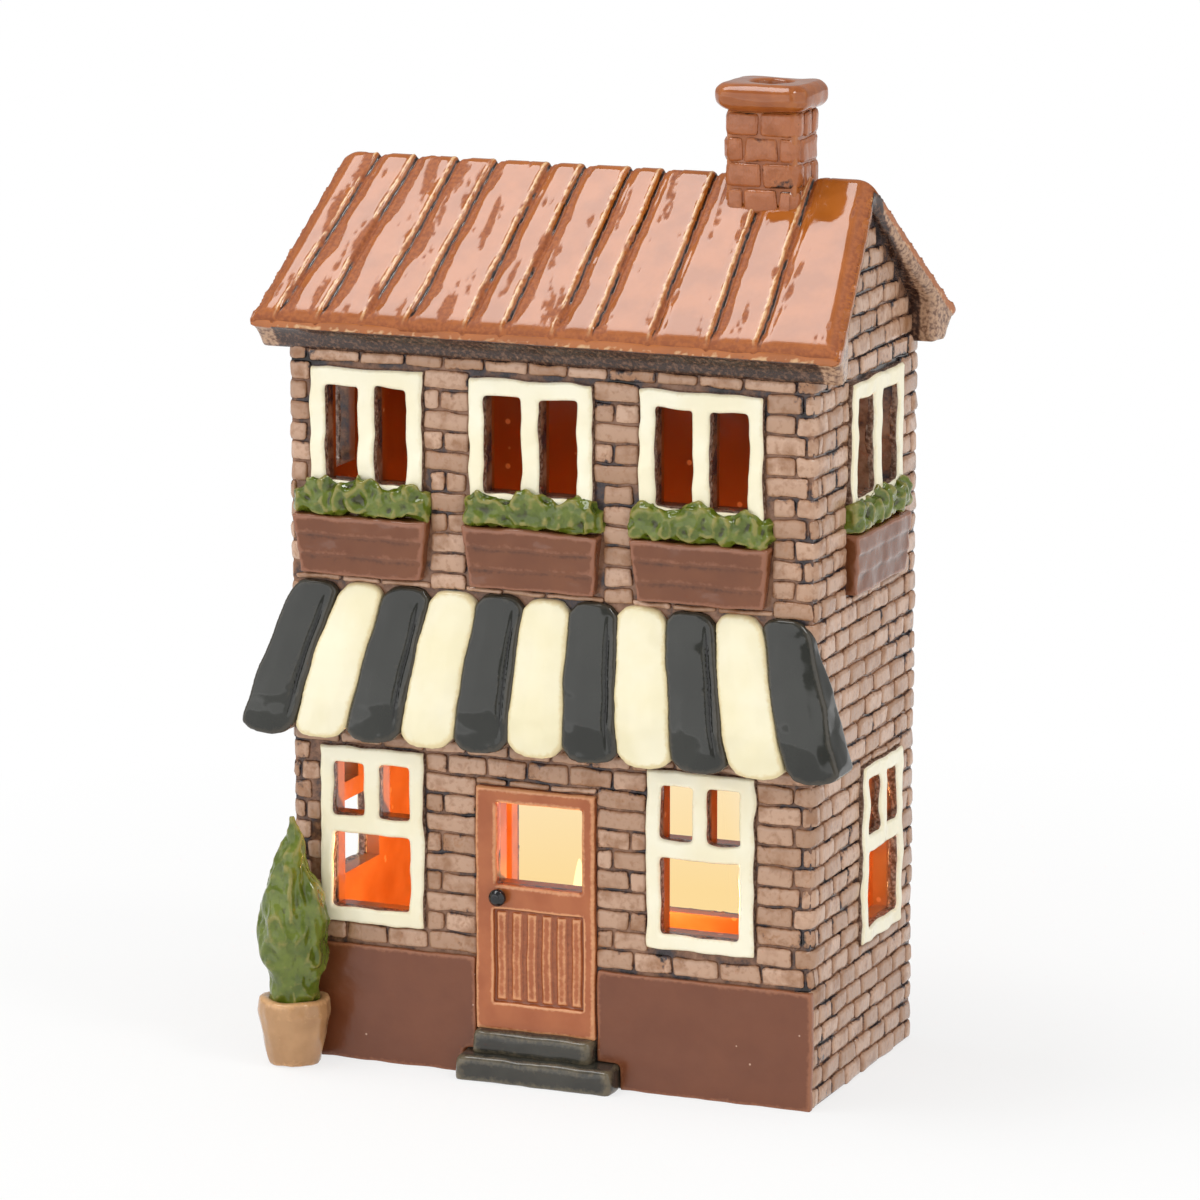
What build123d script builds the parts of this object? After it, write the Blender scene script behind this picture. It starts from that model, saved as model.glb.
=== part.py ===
from build123d import *

import math
import os

# Glazed ceramic tealight house: a two-storey brick house front with an awning, open at the back.
# Millimetres. X runs along the front to the right, Y to the back, Z up.
# The origin is on the ground, under the middle of the four walls.

# Shell
WALL_WIDTH = 124.0
WALL_DEPTH = 65.0
WALL_TOP = 160.5
WALL_THICKNESS = 4.2
FLOOR_THICKNESS = 4.0

# Brick relief
BRICK_RELIEF = 0.8
BRICK_PITCH = 9.9
COURSE_PITCH = 4.5
BED_JOINT = 0.5
PERPEND_HALF = 0.4
PERPEND_DEPTH = 0.5
SHORTEST_BRICK = 1.6
SHORTEST_END = 3.2
THINNEST_COURSE = 1.3

# Roof
RIDGE_TOP = 199.7
RIDGE_HALF = 62.6
EAVE_TOP = 167.2
EAVE_HALF = 68.6
EAVE_REACH = 38.0
EAVE_BOTTOM = 164.0
EAVE_DRAW_IN = 0.6
EAVE_ROUND = 1.4
RIDGE_ROUND = 5.0
ROOF_DEPTH = 6.0
PLANK_WIDTHS = (6.5, 10.0, 11.0, 10.0, 14.0, 9.0, 12.0, 8.5, 13.5, 13.5, 11.0)
PLANK_LEAN = 3.0
GROOVE_DEPTH = 0.8
GROOVE_END_GAP = 3.5

# Chimney
STACK_X = 39.5
STACK_Y = -1.2
STACK_WIDTH = 17.0
STACK_DEPTH = 13.6
STACK_RELIEF = 0.6
STACK_TOP = 214.0
STACK_COURSES = 5
CAP_WIDTH = 19.6
CAP_DEPTH = 17.2
CAP_TOP = 220.0
CAP_CORNER = 2.4
CAP_BEVEL = 1.5
FLUE_DIAMETER = 8.6
FLUE_SIDES = 16
FLUE_NOTCH_WIDTH = 11.0
FLUE_NOTCH_DEPTH = 9.6
FLUE_NOTCH_HEIGHT = 50.0

# Windows: frames stand on the wall face, panes are open holes through frame and wall
FRAME_PROUD = 1.8
FRAME_CHAMFER = 0.45
UPPER_FRAME = (128.5, 156.6)
UPPER_PANE = (131.3, 152.6)
UPPER_STILE = 3.7
UPPER_MULLION = 4.2
LOWER_WIDTH = 25.2
LOWER_HEIGHT = 40.2
LOWER_STILE = 3.4
LOWER_MULLION = 3.7
LOWER_RAIL = 3.6
LOWER_PANE_HEIGHT = 16.8
TOP_PANE_HEIGHT = 12.0

# Places of the windows along each wall, seen from outside
FRONT_UPPER = ((-42.9, 26.8), (-3.8, 29.0), (35.9, 28.8))
FRONT_LOWER = ((-42.1, 31.5), (36.0, 33.0))
GABLE_UPPER_WIDTH = 32.0
RIGHT_UPPER_CENTER = 4.3
RIGHT_LOWER = (9.8, 29.8)
LEFT_UPPER_CENTER = 6.0
LEFT_LOWER = (6.0, 34.0)

# Flower boxes and foliage
BOX_BOTTOM = 110.2
BOX_PLANK = 4.6
BOX_PROUD = 2.6
BOX_LEAN = 0.9
BOX_NOTCH = 0.5
BOX_TAPER = 1.6
FRONT_BOX_CENTERS = (-44.0, -3.2, 36.0)
FRONT_BOX_WIDTH = 32.0
GABLE_BOX_WIDTH = 34.5
FOLIAGE_BOTTOM = 124.1
FOLIAGE_TOP = 133.0
FOLIAGE_PROUD = 3.8
FOLIAGE_DIP = 2.2
FOLIAGE_STEPS = 12
FOLIAGE_BEVEL = 1.3
FOLIAGE_END_DROP = 2.4

# Awning
FLUTES = 11
AWNING_TOP = 108.6
AWNING_BOTTOM = 75.2
AWNING_TOP_HALF = 61.0
AWNING_BOTTOM_HALF = 71.0
AWNING_LIFT = 1.4
AWNING_REACH = 9.2
FLUTE_CROWN = 0.9
FLUTE_GAP = 0.06
FLUTE_END_ROUND = 2.6
FLUTE_END_STEPS = 6
FLUTE_BANDS = 4
FLUTE_FACETS = 3

# Door and steps
DOOR_CENTER = -2.85
DOOR_WIDTH = 28.3
DOOR_TOP = 65.7
DOOR_LIGHT = (-12.0, 8.3, 43.8, 62.3)
DOOR_PANEL = (-12.7, 8.8, 17.0, 38.3)
DOOR_PANEL_DEPTH = 1.1
DOOR_SLATS = 6
DOOR_SLAT_GAP = 1.6
DOOR_SLAT_RISE = 0.6
KNOB_RADIUS = 2.0
KNOB_NECK = 0.8
KNOB_SIDES = 16
KNOB_PLACE = (-11.1, 41.2)
UPPER_STEP = (-16.9, 11.2, 5.4, 10.5)
UPPER_STEP_DEPTH = 4.2
LOWER_STEP = (-19.6, 16.8, 0.0, 5.4)
LOWER_STEP_DEPTH = 7.4
STEP_ROUND = 0.9

# Plinth bands
PLINTH_TOP = 26.5
PLINTH_PROUD = 1.3

# Plant pot and shrub
POT_X = -58.4
POT_STANDOFF = 6.6
POT_HEIGHT = 15.2
POT_BOTTOM_RADIUS = 5.8
POT_RIM_RADIUS = 8.4
POT_RIM_HEIGHT = 3.4
POT_RIM_DRAW_IN = 0.5
POT_SIDES = 16
SHRUB_BOTTOM = 13.2
SHRUB_TOP = 56.0
SHRUB_RADIUS = 8.1
SHRUB_FOOT_RADIUS = 5.6
SHRUB_TIP = 0.5
SHRUB_SWELL = 0.7
SHRUB_BANDS = 8

# Back opening for the tealight
OPENING_HALF = 34.6
OPENING_SILL = 24.5
OPENING_SPRING = 63.4

# Tealight
TEALIGHT_X = -2.5
TEALIGHT_Y = -8.0
TEALIGHT_GAP = 0.1
CUP_RADIUS = 19.0
CUP_HEIGHT = 15.0
CUP_WALL = 0.4
CUP_SIDES = 28
WAX_LEVEL = 12.6
WICK_RADIUS = 0.7
WICK_SIDES = 8
WICK_TOP = 18.0
SUSTAINER_RADIUS = 6.5
SUSTAINER_THICKNESS = 0.4
SUSTAINER_SIDES = 16

# Joint between relief pieces and the bricks beside them
RELIEF_JOINT = 0.3

FACE_X = WALL_WIDTH / 2 - BRICK_RELIEF
FACE_Y = WALL_DEPTH / 2 - BRICK_RELIEF
INNER_X = FACE_X - WALL_THICKNESS
INNER_Y = FACE_Y - WALL_THICKNESS
ROOF_SLOPE = (RIDGE_TOP - EAVE_TOP) / EAVE_REACH
OPENING_CROWN = OPENING_SPRING + OPENING_HALF

# Wall faces: local x along the wall as seen from outside, local y up, local z outwards
FRONT = Plane((0, -FACE_Y, 0), x_dir=(1, 0, 0), z_dir=(0, -1, 0))
RIGHT = Plane((FACE_X, 0, 0), x_dir=(0, 1, 0), z_dir=(1, 0, 0))
BACK = Plane((0, FACE_Y, 0), x_dir=(-1, 0, 0), z_dir=(0, 1, 0))
LEFT = Plane((-FACE_X, 0, 0), x_dir=(0, -1, 0), z_dir=(-1, 0, 0))

parts = {}


def rectangle(u0, u1, v0, v1):
    """A rectangle on a wall face."""
    return Pos((u0 + u1) / 2, (v0 + v1) / 2) * Rectangle(u1 - u0, v1 - v0)


def plate(sketch, low, high):
    """A plate on a wall face, between two heights over that face."""
    return Pos(0, 0, low) * extrude(sketch, high - low)


def level(height):
    """The plane at one height on a wall, with local x along the wall and local y outwards."""
    return Plane((0, height, 0), x_dir=(1, 0, 0), z_dir=(0, -1, 0))


def faceted(rings):
    """A closed solid of flat facets through rings of equally many points."""
    faces = [Face(Wire.make_polygon(ring)) for ring in (rings[0], rings[-1])]
    for low, high in zip(rings, rings[1:]):
        for i in range(len(low)):
            faces.append(Face(Wire.make_polygon([low[i - 1], low[i], high[i]])))
            faces.append(Face(Wire.make_polygon([low[i - 1], high[i], high[i - 1]])))
    return Solid(Shell(faces))


def many_sided(rings, sides):
    """An upright many-sided solid through rings of radius and height."""
    turns = [math.tau * corner / sides for corner in range(sides)]
    circle = [Vector(math.cos(turn), math.sin(turn), 0) for turn in turns]
    return faceted([[point * radius + Vector(0, 0, height) for point in circle] for radius, height in rings])


def grown(u0, u1, v0, v1):
    """The place of a relief piece with its joint to the bricks."""
    return (u0 - RELIEF_JOINT, u1 + RELIEF_JOINT, v0 - RELIEF_JOINT, v1 + RELIEF_JOINT)


# Windows

def upper_window(center, width):
    """Frame outline and the two tall panes of an upper window."""
    half = width / 2
    frame = (center - half, center + half, *UPPER_FRAME)
    inner = half - UPPER_STILE
    panes = [
        (center - inner, center - UPPER_MULLION / 2, *UPPER_PANE),
        (center + UPPER_MULLION / 2, center + inner, *UPPER_PANE),
    ]
    return frame, panes


def lower_window(center, sill):
    """Frame outline, the wide lower pane and the two small top panes of a lower window."""
    half = LOWER_WIDTH / 2
    top = sill + LOWER_HEIGHT
    frame = (center - half, center + half, sill, top)
    inner = half - LOWER_STILE
    low = (sill + LOWER_RAIL, sill + LOWER_RAIL + LOWER_PANE_HEIGHT)
    high = (top - LOWER_RAIL - TOP_PANE_HEIGHT, top - LOWER_RAIL)
    panes = [
        (center - inner, center + inner, *low),
        (center - inner, center - LOWER_MULLION / 2, *high),
        (center + LOWER_MULLION / 2, center + inner, *high),
    ]
    return frame, panes


def window_frame(frame, panes):
    """A raised frame with its pane holes and softened front edges."""
    outline = rectangle(*frame) - [rectangle(*pane) for pane in panes]
    solid = plate(outline, 0, FRAME_PROUD)
    return chamfer(solid.faces().sort_by(Axis.Z)[-1].edges(), FRAME_CHAMFER)


front_windows = {
    "left_upper": upper_window(*FRONT_UPPER[0]),
    "middle_upper": upper_window(*FRONT_UPPER[1]),
    "right_upper": upper_window(*FRONT_UPPER[2]),
    "left_lower": lower_window(*FRONT_LOWER[0]),
    "right_lower": lower_window(*FRONT_LOWER[1]),
}
right_windows = {
    "upper": upper_window(RIGHT_UPPER_CENTER, GABLE_UPPER_WIDTH),
    "lower": lower_window(*RIGHT_LOWER),
}
left_windows = {
    "upper": upper_window(LEFT_UPPER_CENTER, GABLE_UPPER_WIDTH),
    "lower": lower_window(*LEFT_LOWER),
}

for wall_name, face, windows in (
    ("front", FRONT, front_windows),
    ("right_gable", RIGHT, right_windows),
    ("left_gable", LEFT, left_windows),
):
    for window_name, (frame, panes) in windows.items():
        parts[f"{wall_name}_{window_name}_window"] = face * window_frame(frame, panes)


# Walls and floor

def pane_holes(windows):
    return [rectangle(*pane) for frame, panes in windows.values() for pane in panes]


def roof_underside(offset):
    """Height of the roof's underside at a distance from the ridge."""
    return RIDGE_TOP - ROOF_DEPTH - ROOF_SLOPE * abs(offset)


def gable_wall(windows):
    """A gable wall: it stands between the front and back walls and runs up under the ridge."""
    outline = make_face(
        Polyline(
            (-INNER_Y, 0),
            (INNER_Y, 0),
            (INNER_Y, roof_underside(INNER_Y)),
            (0, roof_underside(0)),
            (-INNER_Y, roof_underside(INNER_Y)),
            close=True,
        )
    )
    return plate(outline - pane_holes(windows), -WALL_THICKNESS, 0)


def back_opening():
    """Round-headed opening that the tealight is put in through."""
    jambs = rectangle(-OPENING_HALF, OPENING_HALF, OPENING_SILL, OPENING_SPRING)
    return jambs + Pos(0, OPENING_SPRING) * Circle(OPENING_HALF)


whole_wall = rectangle(-FACE_X, FACE_X, 0, WALL_TOP)
front_holes = pane_holes(front_windows) + [rectangle(*DOOR_LIGHT)]
parts["front_wall"] = FRONT * plate(whole_wall - front_holes, -WALL_THICKNESS, 0)
parts["back_wall"] = BACK * plate(whole_wall - back_opening(), -WALL_THICKNESS, 0)
parts["right_gable_wall"] = RIGHT * gable_wall(right_windows)
parts["left_gable_wall"] = LEFT * gable_wall(left_windows)
parts["floor_slab"] = Pos(0, 0, FLOOR_THICKNESS / 2) * Box(2 * INNER_X, 2 * INNER_Y, FLOOR_THICKNESS)


# Flower boxes and foliage

def flower_box(center, width):
    """A box of three planks, leaning out to its top and drawn in to its bottom."""
    top = BOX_BOTTOM + 3 * BOX_PLANK
    section = [(BOX_BOTTOM, 0)]
    for plank in range(3):
        foot = BOX_BOTTOM + plank * BOX_PLANK
        head = foot + BOX_PLANK
        proud = BOX_PROUD + BOX_LEAN * plank / 2
        section += [(foot + BOX_NOTCH / 2, proud), (head - BOX_NOTCH / 2, proud)]
        if plank < 2:
            section.append((head, proud - BOX_NOTCH))
    section.append((top, 0))
    side = Plane((0, 0, 0), x_dir=(0, 1, 0), z_dir=(1, 0, 0))
    planks = extrude(side * make_face(Polyline(*section, close=True)), width / 2, both=True)
    half = width / 2
    outline = make_face(
        Polyline(
            (-half + BOX_TAPER, BOX_BOTTOM),
            (half - BOX_TAPER, BOX_BOTTOM),
            (half, top),
            (-half, top),
            close=True,
        )
    )
    return Pos(center, 0, 0) * (planks & plate(outline, 0, 2 * BOX_PROUD))


def foliage(center, width, frame):
    """Leaves over a flower box: they climb the stiles and the mullion of the window and dip at its panes."""
    half = width / 2
    points = [(-half, FOLIAGE_BOTTOM), (half, FOLIAGE_BOTTOM)]
    mullion = (frame[0] + frame[1]) / 2 - center
    pane_pitch = (frame[1] - frame[0] - UPPER_STILE) / 2
    for i in range(FOLIAGE_STEPS, -1, -1):
        place = 2 * i / FOLIAGE_STEPS - 1
        swing = math.cos(math.tau * (half * place - mullion) / pane_pitch)
        drop = FOLIAGE_DIP * (1 - swing) / 2 + FOLIAGE_END_DROP * place**4
        points.append((half * place, FOLIAGE_TOP - drop))
    leaves = plate(make_face(Polyline(*points, close=True)), 0, FOLIAGE_PROUD)
    leaves = chamfer(leaves.faces().sort_by(Axis.Z)[-1].edges(), FOLIAGE_BEVEL)
    return Pos(center, 0, 0) * leaves - plate(rectangle(*frame), 0, FRAME_PROUD)


boxes = [
    ("front_left", FRONT, FRONT_BOX_CENTERS[0], FRONT_BOX_WIDTH, front_windows["left_upper"]),
    ("front_middle", FRONT, FRONT_BOX_CENTERS[1], FRONT_BOX_WIDTH, front_windows["middle_upper"]),
    ("front_right", FRONT, FRONT_BOX_CENTERS[2], FRONT_BOX_WIDTH, front_windows["right_upper"]),
    ("right_gable", RIGHT, RIGHT_UPPER_CENTER, GABLE_BOX_WIDTH, right_windows["upper"]),
    ("left_gable", LEFT, LEFT_UPPER_CENTER, GABLE_BOX_WIDTH, left_windows["upper"]),
]
for name, face, center, width, (frame, panes) in boxes:
    parts[name + "_flower_box"] = face * flower_box(center, width)
    parts[name + "_foliage"] = face * foliage(center, width, frame)


# Awning

def awning_half(height):
    """Half the awning's length at one height: it spreads towards its bottom edge."""
    drop = (AWNING_TOP - height) / (AWNING_TOP - AWNING_BOTTOM)
    return AWNING_TOP_HALF + (AWNING_BOTTOM_HALF - AWNING_TOP_HALF) * drop


def awning_reach(height):
    """How far the awning stands out of the wall at one height, as a quarter wave."""
    drop = (AWNING_TOP - height) / (AWNING_TOP - AWNING_BOTTOM)
    return AWNING_LIFT + (AWNING_REACH - AWNING_LIFT) * math.sin(drop * math.pi / 2)


def flute_ring(index, height):
    """Section of one flute at one height: flat at the wall, crowned outside."""
    half = awning_half(height)
    reach = awning_reach(height)
    shoulder = max(reach - FLUTE_CROWN, reach / 2)
    u0 = -half + 2 * half * index / FLUTES + FLUTE_GAP
    u1 = -half + 2 * half * (index + 1) / FLUTES - FLUTE_GAP
    ring = [Vector(u0, height, 0)]
    for facet in range(FLUTE_FACETS + 1):
        across = facet / FLUTE_FACETS
        rise = 1 - (2 * across - 1) ** 2
        ring.append(Vector(u0 + (u1 - u0) * across, height, shoulder + (reach - shoulder) * rise))
    ring.append(Vector(u1, height, 0))
    return ring


def flute_outline(index):
    """Outline of one flute seen from the front, with round corners at both ends."""
    points = []
    for end, inward in ((AWNING_BOTTOM, 1), (AWNING_TOP, -1)):
        half = awning_half(end) / FLUTES
        center = half * (2 * index + 1 - FLUTES)
        for step in range(FLUTE_END_STEPS + 1):
            place = inward * (2 * step / FLUTE_END_STEPS - 1)
            drop = FLUTE_END_ROUND * place**4
            points.append((center + half * place, end + inward * drop))
    return make_face(Polyline(*points, close=True))


def flute(index):
    """One flute: crowned across, bellied down its length and round at both ends."""
    rise = (AWNING_TOP - AWNING_BOTTOM) / FLUTE_BANDS
    rings = [flute_ring(index, AWNING_BOTTOM + rise * band) for band in range(FLUTE_BANDS + 1)]
    return faceted(rings) & plate(flute_outline(index), 0, 2 * AWNING_REACH)


flutes = [FRONT * flute(index) for index in range(FLUTES)]
parts["awning_dark_flutes"] = Compound(children=flutes[0::2])
parts["awning_cream_flutes"] = Compound(children=flutes[1::2])


# Door, steps and plinth

def door_leaf():
    """The door: a raised leaf with an open light above and a sunk panel of upright slats below."""
    half = DOOR_WIDTH / 2
    outline = rectangle(DOOR_CENTER - half, DOOR_CENTER + half, UPPER_STEP[3], DOOR_TOP)
    leaf = plate(outline - rectangle(*DOOR_LIGHT), 0, FRAME_PROUD)
    leaf = chamfer(leaf.faces().sort_by(Axis.Z)[-1].edges(), FRAME_CHAMFER)
    panel_floor = FRAME_PROUD - DOOR_PANEL_DEPTH
    leaf -= plate(rectangle(*DOOR_PANEL), panel_floor, 2 * FRAME_PROUD)
    u0, u1, v0, v1 = DOOR_PANEL
    pitch = (u1 - u0) / DOOR_SLATS
    for slat in range(DOOR_SLATS):
        left = u0 + slat * pitch + DOOR_SLAT_GAP / 2
        right = left + pitch - DOOR_SLAT_GAP
        slat_outline = rectangle(left, right, v0 + DOOR_SLAT_GAP / 2, v1 - DOOR_SLAT_GAP / 2)
        leaf += plate(slat_outline, panel_floor, panel_floor + DOOR_SLAT_RISE)
    return leaf


def door_knob():
    """A round knob on a short neck."""
    neck_radius = KNOB_RADIUS / 2
    neck = many_sided([(neck_radius, 0), (neck_radius, KNOB_NECK)], KNOB_SIDES)
    crown = KNOB_NECK + KNOB_RADIUS / 2
    top = KNOB_NECK + KNOB_RADIUS
    head = many_sided([(KNOB_RADIUS, KNOB_NECK), (KNOB_RADIUS, crown), (neck_radius, top)], KNOB_SIDES)
    return Pos(*KNOB_PLACE, FRAME_PROUD) * (neck + head)


def step(place, depth):
    """A doorstep with a rounded top edge."""
    block = plate(rectangle(*place), 0, depth)
    nosing = block.edges().filter_by(Axis.X).sort_by(Axis.Z)[-2:].sort_by(Axis.Y)[-1]
    return fillet(nosing, STEP_ROUND)


door_place = (DOOR_CENTER - DOOR_WIDTH / 2, DOOR_CENTER + DOOR_WIDTH / 2, 0, DOOR_TOP)
left_plinth = (-FACE_X - BRICK_RELIEF, door_place[0] - RELIEF_JOINT, 0, PLINTH_TOP)
right_plinth = (door_place[1] + RELIEF_JOINT, FACE_X + BRICK_RELIEF, 0, PLINTH_TOP)
step_notch = rectangle(*grown(*LOWER_STEP))
parts["door_leaf"] = FRONT * door_leaf()
parts["door_knob"] = FRONT * door_knob()
parts["upper_step"] = FRONT * step(UPPER_STEP, UPPER_STEP_DEPTH)
parts["lower_step"] = FRONT * step(LOWER_STEP, LOWER_STEP_DEPTH)
parts["left_plinth"] = FRONT * plate(rectangle(*left_plinth) - step_notch, 0, PLINTH_PROUD)
parts["right_plinth"] = FRONT * plate(rectangle(*right_plinth) - step_notch, 0, PLINTH_PROUD)


# Plant pot and shrub, cut flat where they meet the wall

def against_wall(solid, proud):
    """Stand a piece on the pot's upright axis and cut it flat at some height over the wall."""
    placed = Pos(POT_X, -FACE_Y - PLINTH_PROUD - POT_STANDOFF, 0) * solid
    clear_of_wall = Pos(POT_X, -FACE_Y - proud - WALL_DEPTH / 2, WALL_TOP / 2)
    return placed & clear_of_wall * Box(WALL_DEPTH, WALL_DEPTH, WALL_TOP)


def plant_pot():
    """A tapered pot, fullest under its rim and hollow down to the foot of the shrub."""
    belly = POT_HEIGHT - POT_RIM_HEIGHT
    lip = POT_RIM_RADIUS - POT_RIM_DRAW_IN
    body = many_sided([(POT_BOTTOM_RADIUS, 0), (POT_RIM_RADIUS, belly), (lip, POT_HEIGHT)], POT_SIDES)
    mouth = many_sided([(SHRUB_FOOT_RADIUS, SHRUB_BOTTOM), (SHRUB_FOOT_RADIUS, 2 * POT_HEIGHT)], POT_SIDES)
    return body - mouth


def shrub():
    """A clipped shrub: full below the middle, drawn in to a point."""
    rings = []
    for step in range(SHRUB_BANDS + 1):
        climb = step / SHRUB_BANDS
        height = SHRUB_BOTTOM + (SHRUB_TOP - SHRUB_BOTTOM) * climb
        swell = math.sin(math.pi * climb**SHRUB_SWELL)
        foot = SHRUB_FOOT_RADIUS * (1 - climb) ** 2
        rings.append((max(foot, SHRUB_RADIUS * swell, SHRUB_TIP), height))
    return many_sided(rings, POT_SIDES)


parts["plant_pot"] = against_wall(plant_pot(), PLINTH_PROUD)
parts["shrub"] = against_wall(shrub(), FRAME_PROUD)


# Roof

def roof_outer():
    """Outer outline of the roof, down to the underside of the eaves."""
    half_wall = WALL_DEPTH / 2
    return [
        (-half_wall, WALL_TOP),
        (-EAVE_REACH + EAVE_DRAW_IN, EAVE_BOTTOM),
        (-EAVE_REACH, EAVE_TOP),
        (0, RIDGE_TOP),
        (EAVE_REACH, EAVE_TOP),
        (EAVE_REACH - EAVE_DRAW_IN, EAVE_BOTTOM),
        (half_wall, WALL_TOP),
    ]


def rounded_roof(points):
    """Roof section with a round ridge and round eaves, run along the house."""
    section = make_face(Polyline(*points, close=True))
    overhang_middle = (WALL_DEPTH / 2 + EAVE_REACH) / 2
    eaves = section.vertices().filter_by(lambda corner: abs(corner.X) > overhang_middle)
    section = fillet(eaves, EAVE_ROUND)
    ridge = section.vertices().sort_by(Axis.Y)[-1]
    section = fillet(ridge, RIDGE_ROUND)
    return extrude(Plane.YZ * section, EAVE_HALF, both=True)


def plank_grooves(side):
    """Grooves between the planks of one slope, leaning a little as they climb."""
    cutters = []
    eave_x = -EAVE_HALF
    slope_length = math.hypot(EAVE_REACH, RIDGE_TOP - EAVE_TOP)
    for width in PLANK_WIDTHS:
        eave_x += width
        ridge_x = eave_x * RIDGE_HALF / EAVE_HALF + PLANK_LEAN
        climb = Vector(ridge_x - eave_x, -side * EAVE_REACH, RIDGE_TOP - EAVE_TOP)
        start = Vector(eave_x, side * EAVE_REACH, EAVE_TOP)
        normal = Vector(0, side * ROOF_SLOPE, 1)
        line = Plane(start, x_dir=climb, z_dir=normal)
        middle = GROOVE_END_GAP + slope_length / 2
        edge = GROOVE_DEPTH * math.sqrt(2)
        cutters.append(line * (Pos(middle, 0, 0) * Rot(45, 0, 0) * Box(slope_length, edge, edge)))
    return cutters


inside = [
    (INNER_Y, WALL_TOP),
    (INNER_Y, roof_underside(INNER_Y)),
    (0, roof_underside(0)),
    (-INNER_Y, roof_underside(INNER_Y)),
    (-INNER_Y, WALL_TOP),
]
roof_plan = make_face(
    Polyline(
        (RIDGE_HALF, 0),
        (EAVE_HALF, EAVE_REACH),
        (-EAVE_HALF, EAVE_REACH),
        (-RIDGE_HALF, 0),
        (-EAVE_HALF, -EAVE_REACH),
        (EAVE_HALF, -EAVE_REACH),
        close=True,
    )
)
roof = rounded_roof(roof_outer() + inside) & extrude(roof_plan, 2 * RIDGE_TOP)
roof -= plank_grooves(-1) + plank_grooves(1)
roof -= Pos(STACK_X, STACK_Y, RIDGE_TOP) * Box(FLUE_NOTCH_WIDTH, FLUE_NOTCH_DEPTH, FLUE_NOTCH_HEIGHT)
parts["front_roof_slope"] = split(roof, bisect_by=Plane.XZ, keep=Keep.TOP)
parts["back_roof_slope"] = split(roof, bisect_by=Plane.XZ, keep=Keep.BOTTOM)


# Chimney, astride the ridge

roof_mass = rounded_roof(roof_outer())
stack_bottom = RIDGE_TOP - STACK_DEPTH
stack_height = STACK_TOP - stack_bottom
flue_rings = [(FLUE_DIAMETER / 2, WALL_TOP), (FLUE_DIAMETER / 2, 2 * RIDGE_TOP)]
flue = Pos(STACK_X, STACK_Y, 0) * many_sided(flue_rings, FLUE_SIDES)
stack_place = Pos(STACK_X, STACK_Y, stack_bottom + stack_height / 2)
stack_core = Box(STACK_WIDTH - 2 * STACK_RELIEF, STACK_DEPTH - 2 * STACK_RELIEF, stack_height)
parts["chimney_stack"] = stack_place * stack_core - roof_mass - flue
cap_place = Pos(STACK_X, STACK_Y, (STACK_TOP + CAP_TOP) / 2)
cap = Box(CAP_WIDTH, CAP_DEPTH, CAP_TOP - STACK_TOP)
cap = chamfer(cap.edges().filter_by(Axis.Z), CAP_CORNER)
cap = chamfer(cap.faces().filter_by(Axis.Z).edges(), CAP_BEVEL)
parts["chimney_cap"] = cap_place * cap - flue


# Brickwork: each course is a bar notched at its upright joints, in running bond

def free_spans(u0, u1, v0, v1, keep_outs):
    """The stretches of a course that no relief piece covers."""
    spans = [(u0, u1)]
    for k0, k1, low, high in keep_outs:
        if high <= v0 or low >= v1:
            continue
        cut = []
        for a, b in spans:
            cut += [(a, min(b, k0)), (max(a, k1), b)]
        spans = [(a, b) for a, b in cut if b - a > SHORTEST_BRICK]
    return spans


def course_bar(u0, u1, v0, v1, phase, relief):
    """One stretch of a course, from its bed joint up, notched at the bricks' ends unless phase is None."""
    outline = [(u1, relief), (u1, 0), (u0, 0), (u0, relief)]
    joints = []
    if phase is not None:
        first = math.ceil((u0 + SHORTEST_END - phase) / BRICK_PITCH)
        last = math.floor((u1 - SHORTEST_END - phase) / BRICK_PITCH)
        joints = range(first, last + 1)
    for number in joints:
        joint = phase + number * BRICK_PITCH
        outline += [
            (joint - PERPEND_HALF, relief),
            (joint, relief - PERPEND_DEPTH),
            (joint + PERPEND_HALF, relief),
        ]
    section = level(v1) * make_face(Polyline(*outline, close=True))
    return extrude(section, v1 - v0)


def brickwork(half_width, top, keep_outs, bonded=True, rake=None):
    """Courses from the ground to the top of a wall, fitted round its relief pieces."""
    bars = []
    courses = math.ceil(top / COURSE_PITCH)
    for number in range(courses):
        v0 = number * COURSE_PITCH + BED_JOINT / 2
        v1 = min((number + 1) * COURSE_PITCH, top) - BED_JOINT / 2
        phase = BRICK_PITCH / 2 * (number % 2) if bonded else None
        reach = rake(v1) if rake else half_width
        if v1 - v0 < THINNEST_COURSE or reach < SHORTEST_BRICK:
            continue
        strips = [(-reach, reach, v0, v1, keep_outs)]
        for place in keep_outs:
            others = [other for other in keep_outs if other is not place]
            k0, k1, low, high = place
            if v0 < high < v1 - THINNEST_COURSE:
                strips.append((max(k0, -reach), min(k1, reach), high, v1, others))
            if v0 + THINNEST_COURSE < low < v1:
                strips.append((max(k0, -reach), min(k1, reach), v0, low, others))
        for u0, u1, low, high, blocked in strips:
            for a, b in free_spans(u0, u1, low, high, blocked):
                bars.append(course_bar(a, b, low, high, phase, BRICK_RELIEF))
    return bars


def box_place(center, width):
    half = width / 2
    return grown(center - half, center + half, BOX_BOTTOM, FOLIAGE_TOP)


def gable_rake(height):
    """Half width of a gable's brickwork at one height, under the roof."""
    if height < WALL_TOP:
        return FACE_Y - RELIEF_JOINT
    return min(INNER_Y, (roof_underside(0) - height) / ROOF_SLOPE) - RELIEF_JOINT


def gable_keep_outs(windows, center):
    return [grown(*frame) for frame, panes in windows.values()] + [box_place(center, GABLE_BOX_WIDTH)]


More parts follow.
